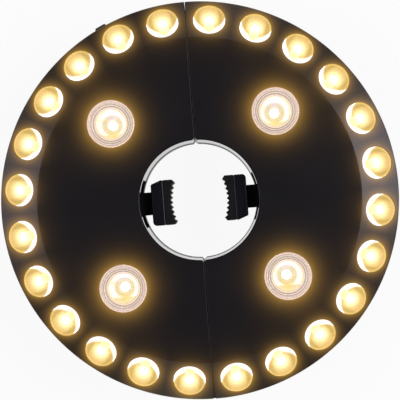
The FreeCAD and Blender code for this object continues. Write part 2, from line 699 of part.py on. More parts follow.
def jaw_pad(side):
    """The toothed rubber face of a jaw."""
    body = new_body(f"jaw_pad_{side}", HALVES[side][0])
    back = "jaw_tip + jaw_pad_depth"
    points = [(back, "-jaw_width / 2"), ("jaw_tip + tooth_end_cut", "-jaw_width / 2")]
    count = round(size("tooth_count"))
    for tooth in range(count):
        tip = f"tooth_pitch * ({tooth} - (tooth_count - 1) / 2)"
        points.append((tooth_place(tip), tip))
        if tooth < count - 1:
            valley = f"{tip} + tooth_pitch / 2"
            points.append((f"{tooth_place(valley)} + tooth_depth", valley))
    points += [("jaw_tip + tooth_end_cut", "jaw_width / 2"), (back, "jaw_width / 2")]
    prism(body, points, ("jaw_centre_height - jaw_height / 2 + jaw_chamfer / 4",
                         "jaw_centre_height + jaw_height / 2 - jaw_chamfer / 4"))


def tangent_arc(start, heading, end):
    """The arc that leaves its start along a heading and reaches its end."""
    chord = end - start
    along = chord.normalize()
    reach = (end - start).Length / 2
    aside = heading - along * heading.dot(along)
    bulge = reach * math.tan(heading.getAngle(along) / 2)
    middle = (start + end) * 0.5 + aside.normalize() * bulge
    return Part.Arc(start, middle, end).toShape()


def coil(mean_radius, wire_radius, turns, length):
    """An open coil of round wire about Z, drawn as two tangent arcs to each quarter turn."""
    rise = length - 2 * wire_radius
    quarters = round(turns * 4)
    edges = []

    def place(quarter):
        angle = math.tau * quarter / 4
        return Vector(mean_radius * math.cos(angle), mean_radius * math.sin(angle),
                      wire_radius + rise * quarter / quarters)

    def heading(quarter):
        angle = math.tau * quarter / 4
        steep = 4 * rise / quarters / math.tau
        return Vector(-mean_radius * math.sin(angle), mean_radius * math.cos(angle), steep).normalize()

    for quarter in range(quarters):
        start, end = place(quarter), place(quarter + 1)
        leaving, arriving = heading(quarter), heading(quarter + 1)
        chord = end - start
        across = chord.dot(leaving + arriving)
        spread = 2 * (1 - leaving.dot(arriving))
        reach = (math.sqrt(across ** 2 + spread * chord.dot(chord)) - across) / spread
        first_corner, second_corner = start + leaving * reach, end - arriving * reach
        join = (first_corner + second_corner) * 0.5
        edges.append(tangent_arc(start, leaving, join))
        edges.append(tangent_arc(join, (second_corner - first_corner).normalize(), end))
    ring = Part.Wire(Part.Circle(place(0), heading(0), wire_radius).toShape())
    return Part.Wire(edges).makePipeShell([ring], True, False)


def half_turn(side):
    return Placement(Vector(0, 0, 0), Rotation(Vector(0, 0, 1), HALVES[side][0]))


def jaw_spring(side):
    """The coil in the stem that pushes a jaw out over the hole."""
    back = size("jaw_tip") + size("jaw_depth")
    seat = back + size("guide_wall") * 2 + size("loose_fit")
    pocket_floor = back + size("jaw_travel") + size("slide_clearance") * 2
    collar_back = pocket_floor + size("guide_bridge") + size("slide_clearance") + size("collar_thickness")
    end = collar_back + size("jaw_travel") + size("slide_clearance") * 2 - size("loose_fit")
    shape = coil(size("jaw_coil_radius"), size("jaw_wire_radius"), size("jaw_coil_turns"), end - seat)
    along_x = Placement(Vector(seat, 0, jaw_middle()), Rotation(Vector(0, 1, 0), 90))
    new_feature(f"jaw_spring_{side}", shape, half_turn(side).multiply(along_x))


def battery_cell(side, name, place, sign):
    body = new_body(f"battery_cell_{name}_{side}", HALVES[side][0])
    sketch = new_sketch(body, "XY_Plane", CELL_HEIGHT)
    end, shoulder = "cell_length / 2", "(cell_length / 2 - cell_nub_length)"
    polygon(sketch, [(place, f"-{sign} * {end}"), (f"{place} + cell_radius", f"-{sign} * {end}"),
                     (f"{place} + cell_radius", f"{sign} * {shoulder}"),
                     (f"{place} + cell_nub_radius", f"{sign} * {shoulder}"),
                     (f"{place} + cell_nub_radius", f"{sign} * {end}"), (place, f"{sign} * {end}")])
    axis_line(sketch, (place, "0"), (place, end))
    turned(body, sketch, axis="Axis0")


def battery_contacts(side):
    """One plate joins the two cells at one end, two plates with cones meet them at the other."""
    body = new_body(f"battery_contacts_{side}", HALVES[side][0])
    plate = "(cell_length / 2 + contact_setback)"
    heights = (f"{CELL_HEIGHT} - contact_width / 2", f"{CELL_HEIGHT} + contact_width / 2")
    for place in (INNER_CELL, OUTER_CELL):
        block(body, (f"{place} - contact_width / 2", f"{place} + contact_width / 2"),
              (plate, f"{plate} + contact_thickness"), heights)
    block(body, (f"{INNER_CELL} - contact_width / 2", f"{OUTER_CELL} + contact_width / 2"),
          (f"-{plate} - contact_thickness", f"-{plate}"), heights)
    for place in (INNER_CELL, OUTER_CELL):
        for sign in (1, -1):
            sketch = new_sketch(body, "XY_Plane", CELL_HEIGHT)
            tip = f"{sign} * (cell_length / 2 + screw_fit)"
            root = f"{sign} * ({plate} + contact_thickness / 2)"
            polygon(sketch, [(place, tip), (f"{place} + cell_nub_radius / 2", tip),
                             (f"{place} + cell_nub_radius * 1.5", root), (place, root)])
            axis_line(sketch, (place, "0"), (place, "cell_length"))
            turned(body, sketch, axis="Axis0")


def battery_door(side):
    """The cover plate over the two cells, with a groove for the thumb."""
    body = new_body(f"battery_door_{side}", HALVES[side][0])
    half_length = "bay_length / 2 - door_clearance"
    block(body, ("bay_inner_edge + door_clearance", f"{BAY_OUTER_EDGE} - door_clearance"),
          (f"-({half_length})", half_length), ("door_sunk", "door_sunk + door_thickness"))
    block(body, (f"{BAY_OUTER_EDGE} - cell_radius", f"{BAY_OUTER_EDGE} - cell_radius / 2"),
          ("-thumb_groove_width / 2", "thumb_groove_width / 2"),
          ("-1", "door_sunk + thumb_groove_depth"), cut=True)


def housing_screws(side):
    """Four screws that hold the two covers of a half together."""
    body = new_body(f"housing_screws_{side}", HALVES[side][0])
    rods(body, screw_places(), "screw_head_radius", ("screw_sunk", "screw_sunk + screw_head_height"))
    rods(body, screw_places(), "screw_radius",
         ("screw_sunk + screw_head_height / 2", "screw_sunk + screw_length"))
    sketch = new_sketch(body, "XY_Plane", "screw_sunk - 1")
    for x, y in screw_places():
        rectangle(sketch, (f"{x} - screw_head_radius / 1.6", f"{x} + screw_head_radius / 1.6"),
                  (f"{y} - screw_slot / 2", f"{y} + screw_slot / 2"))
    extrude(body, sketch, ("screw_sunk - 1", "screw_sunk + screw_slot"), cut=True)


def bent_rod(points, bends, radius):
    """A round rod along straight runs joined by tangent arcs."""
    edges = []
    start = points[0]
    for before, corner, after, bend in zip(points, points[1:], points[2:], bends):
        inward = (corner - before).normalize()
        outward = (after - corner).normalize()
        half = inward.getAngle(outward) / 2
        reach = bend * math.tan(half)
        arc_start, arc_end = corner - inward * reach, corner + outward * reach
        to_centre = (outward - inward).normalize()
        arc_middle = corner + to_centre * (bend / math.cos(half) - bend)
        edges.append(Part.LineSegment(start, arc_start).toShape())
        edges.append(Part.Arc(arc_start, arc_middle, arc_end).toShape())
        start = arc_end
    edges.append(Part.LineSegment(start, points[-1]).toShape())
    ring = Part.Wire(Part.Circle(points[0], points[1] - points[0], radius).toShape())
    return Part.Wire(edges).makePipeShell([ring], True, False)


def hanging_bail(side):
    """A wire bail that folds out of the back to hang the light by."""
    pivot = size("hole_radius") + size("bail_inset")
    reach, height = size("bail_reach"), size("bail_pivot_height")
    span, foot, bend = size("bail_half_span"), size("bail_foot"), size("bail_bend")
    points = [Vector(pivot, -span - foot, height), Vector(pivot, -span, height),
              Vector(pivot + reach, -span, height), Vector(pivot + reach, span, height),
              Vector(pivot, span, height), Vector(pivot, span + foot, height)]
    shape = bent_rod(points, (bend,) * 4, size("bail_wire_radius"))
    new_feature(f"hanging_bail_{side}", shape, half_turn(side))


def hinge_pin():
    body = new_body("hinge_pin")
    rods(body, [("0", f"-{HINGE_PLACE}")], "pin_radius", (f"{LEFT_LOW} + knuckle_gap", f"{STACK_TOP} - knuckle_gap"))


def hinge_spring():
    """The torsion coil on the pin that shuts the two halves, with a leg in each."""
    parting = board_underside() - size("parting_drop")
    low = parting + 2 * size("knuckle_gap") + 2 * size("knuckle_height")
    margin = size("knuckle_gap")
    length = size("hinge_spring_space") - 2 * margin
    wire = size("hinge_wire_radius")
    radius = size("hinge_coil_radius")
    leg = size("hinge_leg_length")
    turns = coil(radius, wire, size("hinge_coil_turns"), length)
    turns.rotate(Vector(0, 0, 0), Vector(0, 0, 1), 180)
    left_leg = Part.makeCylinder(wire, leg, Vector(-radius, 0, wire), Vector(0, 1, 0))
    right_leg = Part.makeCylinder(wire, leg, Vector(radius, 0, length - wire), Vector(0, 1, 0))
    shape = turns.fuse([right_leg, left_leg])
    place = Vector(0, size("hinge_inset") - size("rim_radius"), low + margin)
    new_feature("hinge_spring", shape, Placement(place, Rotation()))


def link_cable():
    """The short cable that joins the two boards across the seam, beside the hinge."""
    half_length, low = size("cable_half_length"), board_underside() - size("cable_drop")
    top = board_underside() - size("screw_fit")
    place = size("cable_inset") - size("rim_radius")
    points = [Vector(-half_length, place, top), Vector(-half_length, place, low),
              Vector(half_length, place, low), Vector(half_length, place, top)]
    shape = bent_rod(points, (size("cable_bend"),) * 2, size("cable_radius"))
    new_feature("link_cable", shape, Placement())


def mode_button():
    """The push button on the rim, kept in by a collar behind the wall."""
    body = new_body("mode_button", SIZES["button_azimuth"])
    body.setExpression("Placement.Rotation.Angle", bound("button_azimuth"))
    half_width, half_height = "button_width / 2", "button_height / 2"
    middle = "button_centre_height"
    tip = "rim_radius + button_proud"
    front = "rim_radius - wall - button_clearance * 3"
    prism(body, [(f"{front} - 1", f"-{half_width}"), (f"{tip} - button_round", f"-{half_width}"),
                 (tip, f"-{half_width} + button_round"), (tip, f"{half_width} - button_round"),
                 (f"{tip} - button_round", half_width), (f"{front} - 1", half_width)],
          (f"{middle} - {half_height}", f"{middle} + {half_height}"))
    block(body, (f"{front} - button_collar_depth", front),
          (f"-({half_width} + button_collar)", f"{half_width} + button_collar"),
          (f"{middle} - {half_height} - button_collar", f"{middle} + {half_height} + button_collar"))


def mode_switch():
    """The push switch under the board, behind the button."""
    body = new_body("mode_switch", SIZES["button_azimuth"])
    body.setExpression("Placement.Rotation.Angle", bound("button_azimuth"))
    front = "rim_radius - wall - button_clearance * 3 - button_collar_depth - plunger_gap"
    case_front = f"{front} - plunger_radius * 1.5"
    block(body, (f"{case_front} - switch_depth", case_front), ("-button_width / 2", "button_width / 2"),
          ("board_height - screw_fit - switch_height", "board_height - screw_fit"))
    sketch = new_sketch(body, "XY_Plane", "button_centre_height")
    rectangle(sketch, (f"{case_front} - 1", front), ("0", "plunger_radius"))
    turned(body, sketch, axis="H_Axis")


def build_half(side):
    front_cover(side)
    back_cover(side)
    led_board(side)
    rim_reflector(side)
    rim_leds(side)
    for name, sign in (("upper", 1), ("lower", -1)):
        spot_lens(side, name, sign)
        spot_reflector(side, name, sign)
    spot_leds(side)
    jaw_guide(side)
    jaw_slider(side)
    jaw_pad(side)
    jaw_spring(side)
    battery_cell(side, "inner", INNER_CELL, 1)
    battery_cell(side, "outer", OUTER_CELL, -1)
    battery_contacts(side)
    battery_door(side)
    housing_screws(side)
    hanging_bail(side)


def check_and_write():
    """Stops if anything failed or a cut missed, then writes one file for each sub-part."""
    doc.recompute()
    for item in doc.Objects:
        if "Invalid" in item.State or "Error" in item.State:
            raise RuntimeError(f"{item.Name} in {item.Label} failed: {item.State}")
        if item.TypeId in ("PartDesign::Pocket", "PartDesign::Groove"):
            if item.BaseFeature.Shape.Volume - item.Shape.Volume < 1e-3:
                raise RuntimeError(f"{item.Name} of {item.getParentGeoFeatureGroup().Label} cuts nothing")
    os.makedirs("parts", exist_ok=True)
    pieces = [item for item in doc.Objects
              if item.TypeId == "PartDesign::Body" or item.TypeId == "Part::Feature"]
    for piece in pieces:
        if piece.Shape.isNull() or not piece.Shape.isValid() or not piece.Shape.Solids:
            raise RuntimeError(f"{piece.Label} has no valid solid")
    for piece in pieces:
        piece.Shape.exportStep(f"parts/{piece.Label}.step")
        print(f"{piece.Label}: {len(piece.Shape.Solids)} solids, {piece.Shape.Volume:.1f} mm3")


for half in HALVES:
    build_half(half)
hinge_pin()
hinge_spring()
link_cable()
mode_button()
mode_switch()
check_and_write()
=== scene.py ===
import json
import math

import bmesh
import bpy
from mathutils import Matrix, Vector


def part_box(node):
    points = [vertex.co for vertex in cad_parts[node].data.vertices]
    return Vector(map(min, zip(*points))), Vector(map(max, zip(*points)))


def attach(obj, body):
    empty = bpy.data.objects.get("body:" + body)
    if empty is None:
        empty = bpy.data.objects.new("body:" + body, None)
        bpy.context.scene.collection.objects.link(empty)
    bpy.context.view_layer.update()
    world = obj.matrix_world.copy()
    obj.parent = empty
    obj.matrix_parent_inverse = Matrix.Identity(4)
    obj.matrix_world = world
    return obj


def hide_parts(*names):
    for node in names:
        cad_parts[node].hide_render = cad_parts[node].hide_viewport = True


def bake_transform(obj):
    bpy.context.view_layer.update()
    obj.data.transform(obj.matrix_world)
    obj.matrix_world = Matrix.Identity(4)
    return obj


# The looks of a patio umbrella light: two black half rings round a pole hole, 24 warm lamps in
# bright cups on the sloping rim, four spot lamps behind stepped lenses, and two toothed jaws.

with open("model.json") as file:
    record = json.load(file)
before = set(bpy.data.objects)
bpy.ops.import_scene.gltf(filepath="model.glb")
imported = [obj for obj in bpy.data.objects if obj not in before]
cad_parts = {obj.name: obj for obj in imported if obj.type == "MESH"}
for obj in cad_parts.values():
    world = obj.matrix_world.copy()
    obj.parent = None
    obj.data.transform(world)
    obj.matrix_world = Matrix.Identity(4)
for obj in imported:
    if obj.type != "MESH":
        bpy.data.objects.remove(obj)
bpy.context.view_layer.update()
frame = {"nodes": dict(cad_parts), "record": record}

MM = 0.001

# Sizes that the frame gives
RIM_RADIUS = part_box("front_cover_right")[1].x
FACE_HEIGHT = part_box("front_cover_right")[1].z
PARTING_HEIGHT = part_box("front_cover_right")[0].z
JAW_LOW, JAW_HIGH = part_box("jaw_slider_right")
PAD_LOW, PAD_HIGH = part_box("jaw_pad_right")
LENS_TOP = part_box("spot_lens_upper_right")[1].z

# Sizes of the housing
HOLE_RADIUS = 29.7 * MM
CREASE_RADIUS = 80.5 * MM
BAND_TILT = math.radians(22.3)
WALL = 2 * MM
SEAM_GAP = 0.15 * MM
SEAM_BEVEL = 0.3 * MM
BAND_EDGE = FACE_HEIGHT - (RIM_RADIUS - CREASE_RADIUS) * math.tan(BAND_TILT)
HOLE_NOTCH = 1.2 * MM
POCKET_HALF_WIDTH = 12 * MM
POCKET_TOP = 31.2 * MM
HINGE_PLACE = -97 * MM
HINGE_RELIEF = math.radians(13.5)
KNUCKLE_RADIUS = 2.99 * MM  # a hair under 3 mm, so that no knuckle stands past the rim
KNUCKLE_CLEARANCE = 0.36 * MM
KNUCKLE_HEIGHT = 2.1 * MM
KNUCKLE_GAP = 0.2 * MM
KNUCKLES = {"left": (14.2 * MM, 23.9 * MM), "right": (16.5 * MM, 21.6 * MM)}

# Sizes of the lamps
LAMP_COUNT = 12
LAMP_PITCH = math.radians(15)
LAMP_RING = 90.3 * MM
LAMP_HEIGHT = FACE_HEIGHT - (LAMP_RING - CREASE_RADIUS) * math.tan(BAND_TILT)
CUP_RADIUS = 8 * MM
CUP_DEPTH = 7 * MM
CUP_FLOOR_RADIUS = 2.7 * MM
CUP_FOOT_RADIUS = 3.6 * MM
CUP_FOOT = 0.4 * MM
CUP_MOUTH_INSET = 0.35 * MM
BULB_RADIUS = 2.5 * MM
BULB_HEAD_DEPTH = 2.6 * MM
BULB_FOOT_DEPTH = 9 * MM
BULB_FLANGE_RADIUS = 2.6 * MM
BULB_LEG_RADIUS = 1 * MM
SPOT_RING = 57.9 * MM
SPOT_PLACE = SPOT_RING * math.cos(math.radians(45))
LENS_RADIUS = 11.7 * MM
LENS_STEP_ONE = 10.6 * MM
LENS_STEP_TWO = 9.3 * MM
LENS_SKIRT = 3.1 * MM
WINDOW_RADIUS = 7.4 * MM

# Sizes of the jaws
TOOTH_COUNT = 9
TOOTH_PITCH = 2.45 * MM
TOOTH_DEPTH = 1.25 * MM
TOOTH_ARC = 29 * MM
PAD_END_CUT = 1.2 * MM
JAW_HEAD_BACK = 24 * MM
HEAD_SLOPE_DEPTH = 5 * MM
HEAD_SLOPE_WIDTH = 1.9 * MM
HEAD_CORNER = 1.6 * MM
HEAD_CORNER_BOW = 0.48 * MM
STEM_WIDTH = 11.6 * MM
STEM_HEIGHT = 11 * MM
COLLAR_HALF_WIDTH = 7.5 * MM
COLLAR_HALF_HEIGHT = 7 * MM
COLLAR_THICKNESS = 2 * MM

# Sizes of the button and the slot it stands in
BUTTON_AZIMUTH = math.radians(115.5)
BUTTON_HALF_WIDTH = 3 * MM
BUTTON_LOW, BUTTON_HIGH = 17.5 * MM, 22.5 * MM
BUTTON_BACK, BUTTON_FRONT = 95.5 * MM, 102 * MM
BUTTON_COLLAR_BACK, BUTTON_COLLAR_FRONT = 95.15 * MM, 97.55 * MM
BUTTON_COLLAR_HALF_WIDTH = 4.2 * MM
SLOT_HALF_WIDTH = 3.15 * MM
SLOT_LOW, SLOT_HIGH = 17.35 * MM, 22.65 * MM

HALVES = {"left": math.pi, "right": 0.0}


# ---- shader helpers

class Value:
    """A shader number that Python's own operators work on, each adding one Math node."""

    def __init__(self, tree, socket):
        self.tree = tree
        self.socket = socket

    def math(self, operation, *terms):
        node = self.tree.nodes.new("ShaderNodeMath")
        node.operation = operation
        for place, term in zip(node.inputs, terms):
            if isinstance(term, Value):
                self.tree.links.new(term.socket, place)
            else:
                place.default_value = term
        return Value(self.tree, node.outputs[0])

    def __add__(self, other):
        return self.math("ADD", self, other)

    def __sub__(self, other):
        return self.math("SUBTRACT", self, other)

    def __rsub__(self, other):
        return self.math("SUBTRACT", other, self)

    def __mul__(self, other):
        return self.math("MULTIPLY", self, other)

    def __truediv__(self, other):
        return self.math("DIVIDE", self, other)

    def __pow__(self, other):
        return self.math("POWER", self, other)

    __radd__ = __add__
    __rmul__ = __mul__

    def falloff(self, width):
        """1 where the value is 0, fading like a bell over the width."""
        return self.math("EXPONENT", self * self * (-1 / width ** 2))

    def decay(self, width):
        """1 where the value is 0 and less beyond, by e for each width."""
        return self.math("EXPONENT", self * (-1 / width))

    def above(self, low, high):
        """0 below low, 1 above high, and a smooth step between."""
        node = self.tree.nodes.new("ShaderNodeMapRange")
        node.interpolation_type = "SMOOTHSTEP"
        self.tree.links.new(self.socket, node.inputs["Value"])
        node.inputs["From Min"].default_value = low
        node.inputs["From Max"].default_value = high
        return Value(self.tree, node.outputs[0])


class Finish:
    """One material, whose nodes come from one method."""

    def __init__(self, name, **constants):
        self.material = bpy.data.materials.new(name)
        self.material.use_nodes = True
        self.tree = self.material.node_tree
        self.shader = self.tree.nodes["Principled BSDF"]
        for socket, constant in constants.items():
            self.shader.inputs[socket.replace("_", " ")].default_value = constant
        self.coordinates = self.node("TexCoord", output="Object")

    def node(self, kind, settings=None, inputs=None, output=0):
        node = self.tree.nodes.new("ShaderNode" + kind)
        for name, setting in (settings or {}).items():
            if name == "stops":
                for stop, (position, colour) in enumerate(setting):
                    if stop > 1:
                        node.color_ramp.elements.new(position)
                    node.color_ramp.elements[stop].position = position
                    node.color_ramp.elements[stop].color = (*colour, 1)
            else:
                setattr(node, name, setting)
        for name, value in (inputs or {}).items():
            self.feed(node.inputs[name], value)
        return Value(self.tree, node.outputs[output])

    def feed(self, socket, value):
        if isinstance(value, Value):
            self.tree.links.new(value.socket, socket)
        elif isinstance(value, tuple) and len(value) == 3 and socket.type == "RGBA":
            socket.default_value = (*value, 1)
        else:
            socket.default_value = value

    def set(self, **sockets):
        for name, value in sockets.items():
            self.feed(self.shader.inputs[name.replace("_", " ")], value)
        return self.material

    def place(self):
        """The point's X, Y and Z on the light, in metres."""
        parts = self.node("SeparateXYZ", inputs={0: self.coordinates})
        sockets = parts.socket.node.outputs
        return [Value(self.tree, socket) for socket in sockets]

    def noise(self, scale, detail=4, roughness=0.5):
        return self.node("TexNoise", inputs={"Vector": self.coordinates, "Scale": scale,
                                             "Detail": detail, "Roughness": roughness})

    def mix(self, factor, first, second):
        return self.node("Mix", {"data_type": "RGBA"}, {0: factor, 6: first, 7: second}, output=2)

    def tint(self, colour, strength):
        return self.node("VectorMath", {"operation": "SCALE"}, {0: colour, "Scale": strength})

    def add(self, first, second):
        return self.node("VectorMath", {"operation": "ADD"}, {0: first, 1: second})

    def bump(self, height, strength, distance):
        return self.node("Bump", inputs={"Height": height, "Strength": strength, "Distance": distance})


# ---- where a point lies beside the lamps

def rim_lamp_place(finish):
    """Across and along the nearest rim lamp's mouth, in mouth radii; -1 is the pole side."""
    x, y, _ = finish.place()
    radius = (x * x + y * y) ** 0.5
    turn = x.math("ARCTAN2", y, x) / LAMP_PITCH
    along = (turn - turn.math("FLOOR", turn) - 0.5) * LAMP_PITCH * radius / CUP_RADIUS
    across = (radius - LAMP_RING) / (CUP_RADIUS * math.cos(BAND_TILT))
    return across, along


def spot_lamp_place(finish):
    """Aside and along from the nearest spot lamp's centre, in lens radii."""
    x, y, _ = finish.place()
    aside = (x - x.math("SIGN", x) * SPOT_PLACE) / LENS_RADIUS
    along = (y - y.math("SIGN", y) * SPOT_PLACE) / LENS_RADIUS
    return aside, along


def length_of(first, second):
    return (first * first + second * second) ** 0.5


# ---- materials

# Colours of lamp light: painted into the emission of the housing round the lamps, the rim cups and the spot
# bowls, and the bulbs' own glow
HALO = (1.0, 0.54, 0.09)
GOLD = (0.37, 0.225, 0.034)
YELLOW = (0.90, 0.76, 0.20)
WHITE = (1.0, 0.97, 0.86)


def lamp_glow(finish):
    """The warm light that the lamps shed on the black plastic round them."""
    rim_distance = length_of(*rim_lamp_place(finish)) - 1
    spot_distance = length_of(*spot_lamp_place(finish)) - 1
    rim = rim_distance.decay(0.24) * 0.26 + rim_distance.decay(0.9) * 0.034
    spot = spot_distance.decay(0.27) * 0.30 + spot_distance.decay(0.8) * 0.018
    spread = 0.85 + 0.3 * finish.noise(90, 2)
    return finish.tint(HALO, (rim + spot) * spread)


def moulded_black(name, tone, gloss, glow=False, bore_gloss=None):
    """Satin black plastic with a fine moulded grain, cloudy flow marks and light handling wear."""
    finish = Finish(name, Specular_IOR_Level=0.38, IOR=1.46)
    cloud = finish.noise(35, 5)
    grain = finish.noise(2600, 3, 0.7)
    if bore_gloss is not None:
        x, y, _ = finish.place()
        outside = length_of(x, y).above(HOLE_RADIUS + 0.1 * MM, HOLE_RADIUS + 0.9 * MM)
        gloss = outside * (gloss - bore_gloss) + bore_gloss
        grain = grain * outside
    wear = finish.noise(420, 6, 0.75).above(0.62, 0.78)
    pale = tuple(1.9 * part for part in tone)
    colour = finish.mix(cloud * 0.35 + wear * 0.25, tone, pale)
    finish.set(Base_Color=colour, Roughness=gloss + cloud * 0.1 - wear * 0.06,
               Normal=finish.bump(grain, 0.22, 0.00003))
    if glow:
        finish.set(Emission_Color=lamp_glow(finish), Emission_Strength=1.0)
    return finish.material


def cup_chrome():
    """Metallised reflector with its bulb's light painted into its emission: painted white on the pole side,
    painted gold outside.
    """
    finish = Finish("cup_chrome", Metallic=0.25, Specular_IOR_Level=0.6)
    across, along = rim_lamp_place(finish)
    reach = length_of(across, along)
    turn = across.math("ARCTAN2", along, across)
    rays = finish.node("TexNoise", {"noise_dimensions": "1D"},
                       {"W": turn * 9, "Detail": 3, "Roughness": 0.7})
    rays = rays.above(0.36, 0.68)
    # Painted white crescent highlight on the pole side of the mouth
    painted_crescent_highlight = length_of(across - 0.62, along).above(1.02, 1.14)
    # Painted bright ring of light along the lip
    lip = (reach - 0.97).falloff(0.04)
    # Painted light, yellow in the middle and gold outside, with a painted white hot middle added below
    warm = finish.mix(reach.falloff(0.62), GOLD, YELLOW)
    lit = finish.mix(painted_crescent_highlight, warm, (1.0, 0.97, 1.0))
    # Painted shade, darker between the rays
    shade = 0.62 + 0.34 * rays
    glow = finish.add(finish.tint(lit, shade + painted_crescent_highlight * 0.05 + lip * 0.5),
                      finish.tint(WHITE, length_of(across - 0.1, along).falloff(0.4) * 0.9))
    return finish.set(Base_Color=finish.mix(rays, (0.22, 0.14, 0.05), (0.34, 0.25, 0.12)),
                      Roughness=0.12 + finish.noise(500, 2) * 0.12,
                      Emission_Color=glow, Emission_Strength=1.0)


def bulb_epoxy():
    """Clear warm epoxy, white hot over the middle of its lamp."""
    finish = Finish("warm_bulb", Specular_IOR_Level=0.5, Emission_Strength=1.0)
    across, along = rim_lamp_place(finish)
    rim = length_of(across - 0.1, along).falloff(0.36)
    spot = length_of(*spot_lamp_place(finish)).falloff(0.3)
    shimmer = finish.noise(900, 2)
    glow = finish.add(finish.mix(shimmer, (0.62, 0.42, 0.09), (0.75, 0.55, 0.15)),
                      finish.tint(WHITE, (rim + spot) * 1.6))
    return finish.set(Base_Color=finish.mix(shimmer, (0.6, 0.5, 0.3), (0.65, 0.55, 0.35)),
                      Roughness=0.1 + shimmer * 0.08, Emission_Color=glow)


def spot_chrome():
    """The spot lamp's bowl with its lamp's light painted into its emission: painted white middle and arcs,
    lavender above and yellow below.
    """
    finish = Finish("spot_chrome", Metallic=0.25, Specular_IOR_Level=0.6)
    aside, along = spot_lamp_place(finish)
    reach = length_of(aside, along)
    # Painted white hot middle, and a painted white arc highlight broken off in one place
    hot = reach.falloff(0.17) * 0.8
    arc = (reach - 0.49).falloff(0.085) * (along + 0.42).above(0.0, 0.12)
    broken = 1 - length_of(aside + 0.44, along - 0.2).falloff(0.09) * 0.8
    # Painted lavender light above and painted yellow light below
    above = length_of(aside, along - 0.4).falloff(0.26)
    below = length_of(aside, along + 0.42).falloff(0.2)
    base = finish.mix(below, (0.80, 0.66, 0.30), (0.95, 0.74, 0.05))
    base = finish.mix(above, base, (0.80, 0.72, 0.92))
    glow = finish.add(finish.tint(base, 0.5 + 0.3 * finish.noise(500, 3)),
                      finish.tint(WHITE, hot + arc * broken * 1.3))
    # The base colour too is a little yellower below, where the painted yellow light is
    return finish.set(Base_Color=finish.mix(below, (0.25, 0.24, 0.22), (0.28, 0.24, 0.15)),
                      Roughness=0.1 + finish.noise(400, 2) * 0.1,
                      Emission_Color=glow, Emission_Strength=1.0)


def lens_clear():
    """Clear moulded lens, faintly pink where its steps catch the lamp's light."""
    finish = Finish("lens_clear", IOR=1.49, Transmission_Weight=0.9)
    aside, along = spot_lamp_place(finish)
    reach = length_of(aside, along)
    swirl = finish.noise(260, 4)
    window = WINDOW_RADIUS / LENS_RADIUS
    steps = reach.above(window - 0.01, window + 0.02)
    ripple = reach.math("SINE", reach * 74) * 0.5 + 0.5
    edge = (reach - 0.985).falloff(0.02)
    glow = finish.mix(swirl, (0.28, 0.20, 0.21), (0.33, 0.24, 0.17))
    return finish.set(Base_Color=finish.mix(swirl, (1.0, 0.95, 0.93), (1.0, 0.98, 0.97)),
                      Roughness=0.03 + swirl * 0.05,
                      Normal=finish.bump(swirl, 0.1, 0.0001),
                      Emission_Color=finish.tint(glow, steps * (0.45 + 0.75 * ripple + edge * 0.6)),
                      Emission_Strength=1.0)


def jaw_rubber():
    """Neutral black rubber with a dry bloom."""
    finish = Finish("jaw_rubber", Specular_IOR_Level=0.2)
    bloom = finish.noise(700, 6, 0.7)
    return finish.set(Base_Color=finish.mix(bloom, (0.004, 0.004, 0.004), (0.010, 0.010, 0.009)),
                      Roughness=0.55 + bloom * 0.25, Normal=finish.bump(bloom, 0.4, 0.00005))


def metal(name, dark, light, gloss):
    """Drawn or plated metal with fine streaks and a little tarnish."""
    finish = Finish(name, Metallic=1.0)
    streak = finish.noise(1500, 4, 0.7)
    tarnish = finish.noise(180, 4).above(0.45, 0.75)
    return finish.set(Base_Color=finish.mix(streak * 0.5 + tarnish * 0.5, light, dark),
                      Roughness=gloss + tarnish * 0.2, Normal=finish.bump(streak, 0.1, 0.00002))


def board_mask():
    """Green solder mask with lighter copper tracks under it."""
    finish = Finish("board_mask", Specular_IOR_Level=0.5, Coat_Weight=0.4)
    x, y, _ = finish.place()
    ring = length_of(x, y) * 450
    track = (ring - ring.math("FLOOR", ring)).above(0.6, 0.64)
    speck = finish.noise(300, 3)
    green = finish.mix(speck, (0.01, 0.09, 0.03), (0.015, 0.13, 0.045))
    return finish.set(Base_Color=finish.mix(track * 0.5, green, (0.04, 0.24, 0.07)),
                      Roughness=0.3 + speck * 0.15, Normal=finish.bump(track, 0.3, 0.00003))


def cell_sleeve():
    """Printed shrink sleeve: dark body with one plain copper coloured band."""
    finish = Finish("cell_sleeve", Coat_Weight=0.5)
    _, y, _ = finish.place()
    band = y.math("ABSOLUTE", y).above(0.0178, 0.018)
    scuff = finish.noise(260, 5)
    return finish.set(Base_Color=finish.mix(band, (0.015, 0.016, 0.02), (0.5, 0.2, 0.06)),
                      Metallic=band * 0.7, Roughness=0.25 + scuff * 0.2)


def cable_jacket():
    """Soft red jacket with a faint ripple."""
    finish = Finish("cable_jacket", Specular_IOR_Level=0.35)
    ripple = finish.noise(800, 3)
    return finish.set(Base_Color=finish.mix(ripple, (0.25, 0.012, 0.01), (0.4, 0.03, 0.02)),
                      Roughness=0.4 + ripple * 0.15, Normal=finish.bump(ripple, 0.2, 0.00004))


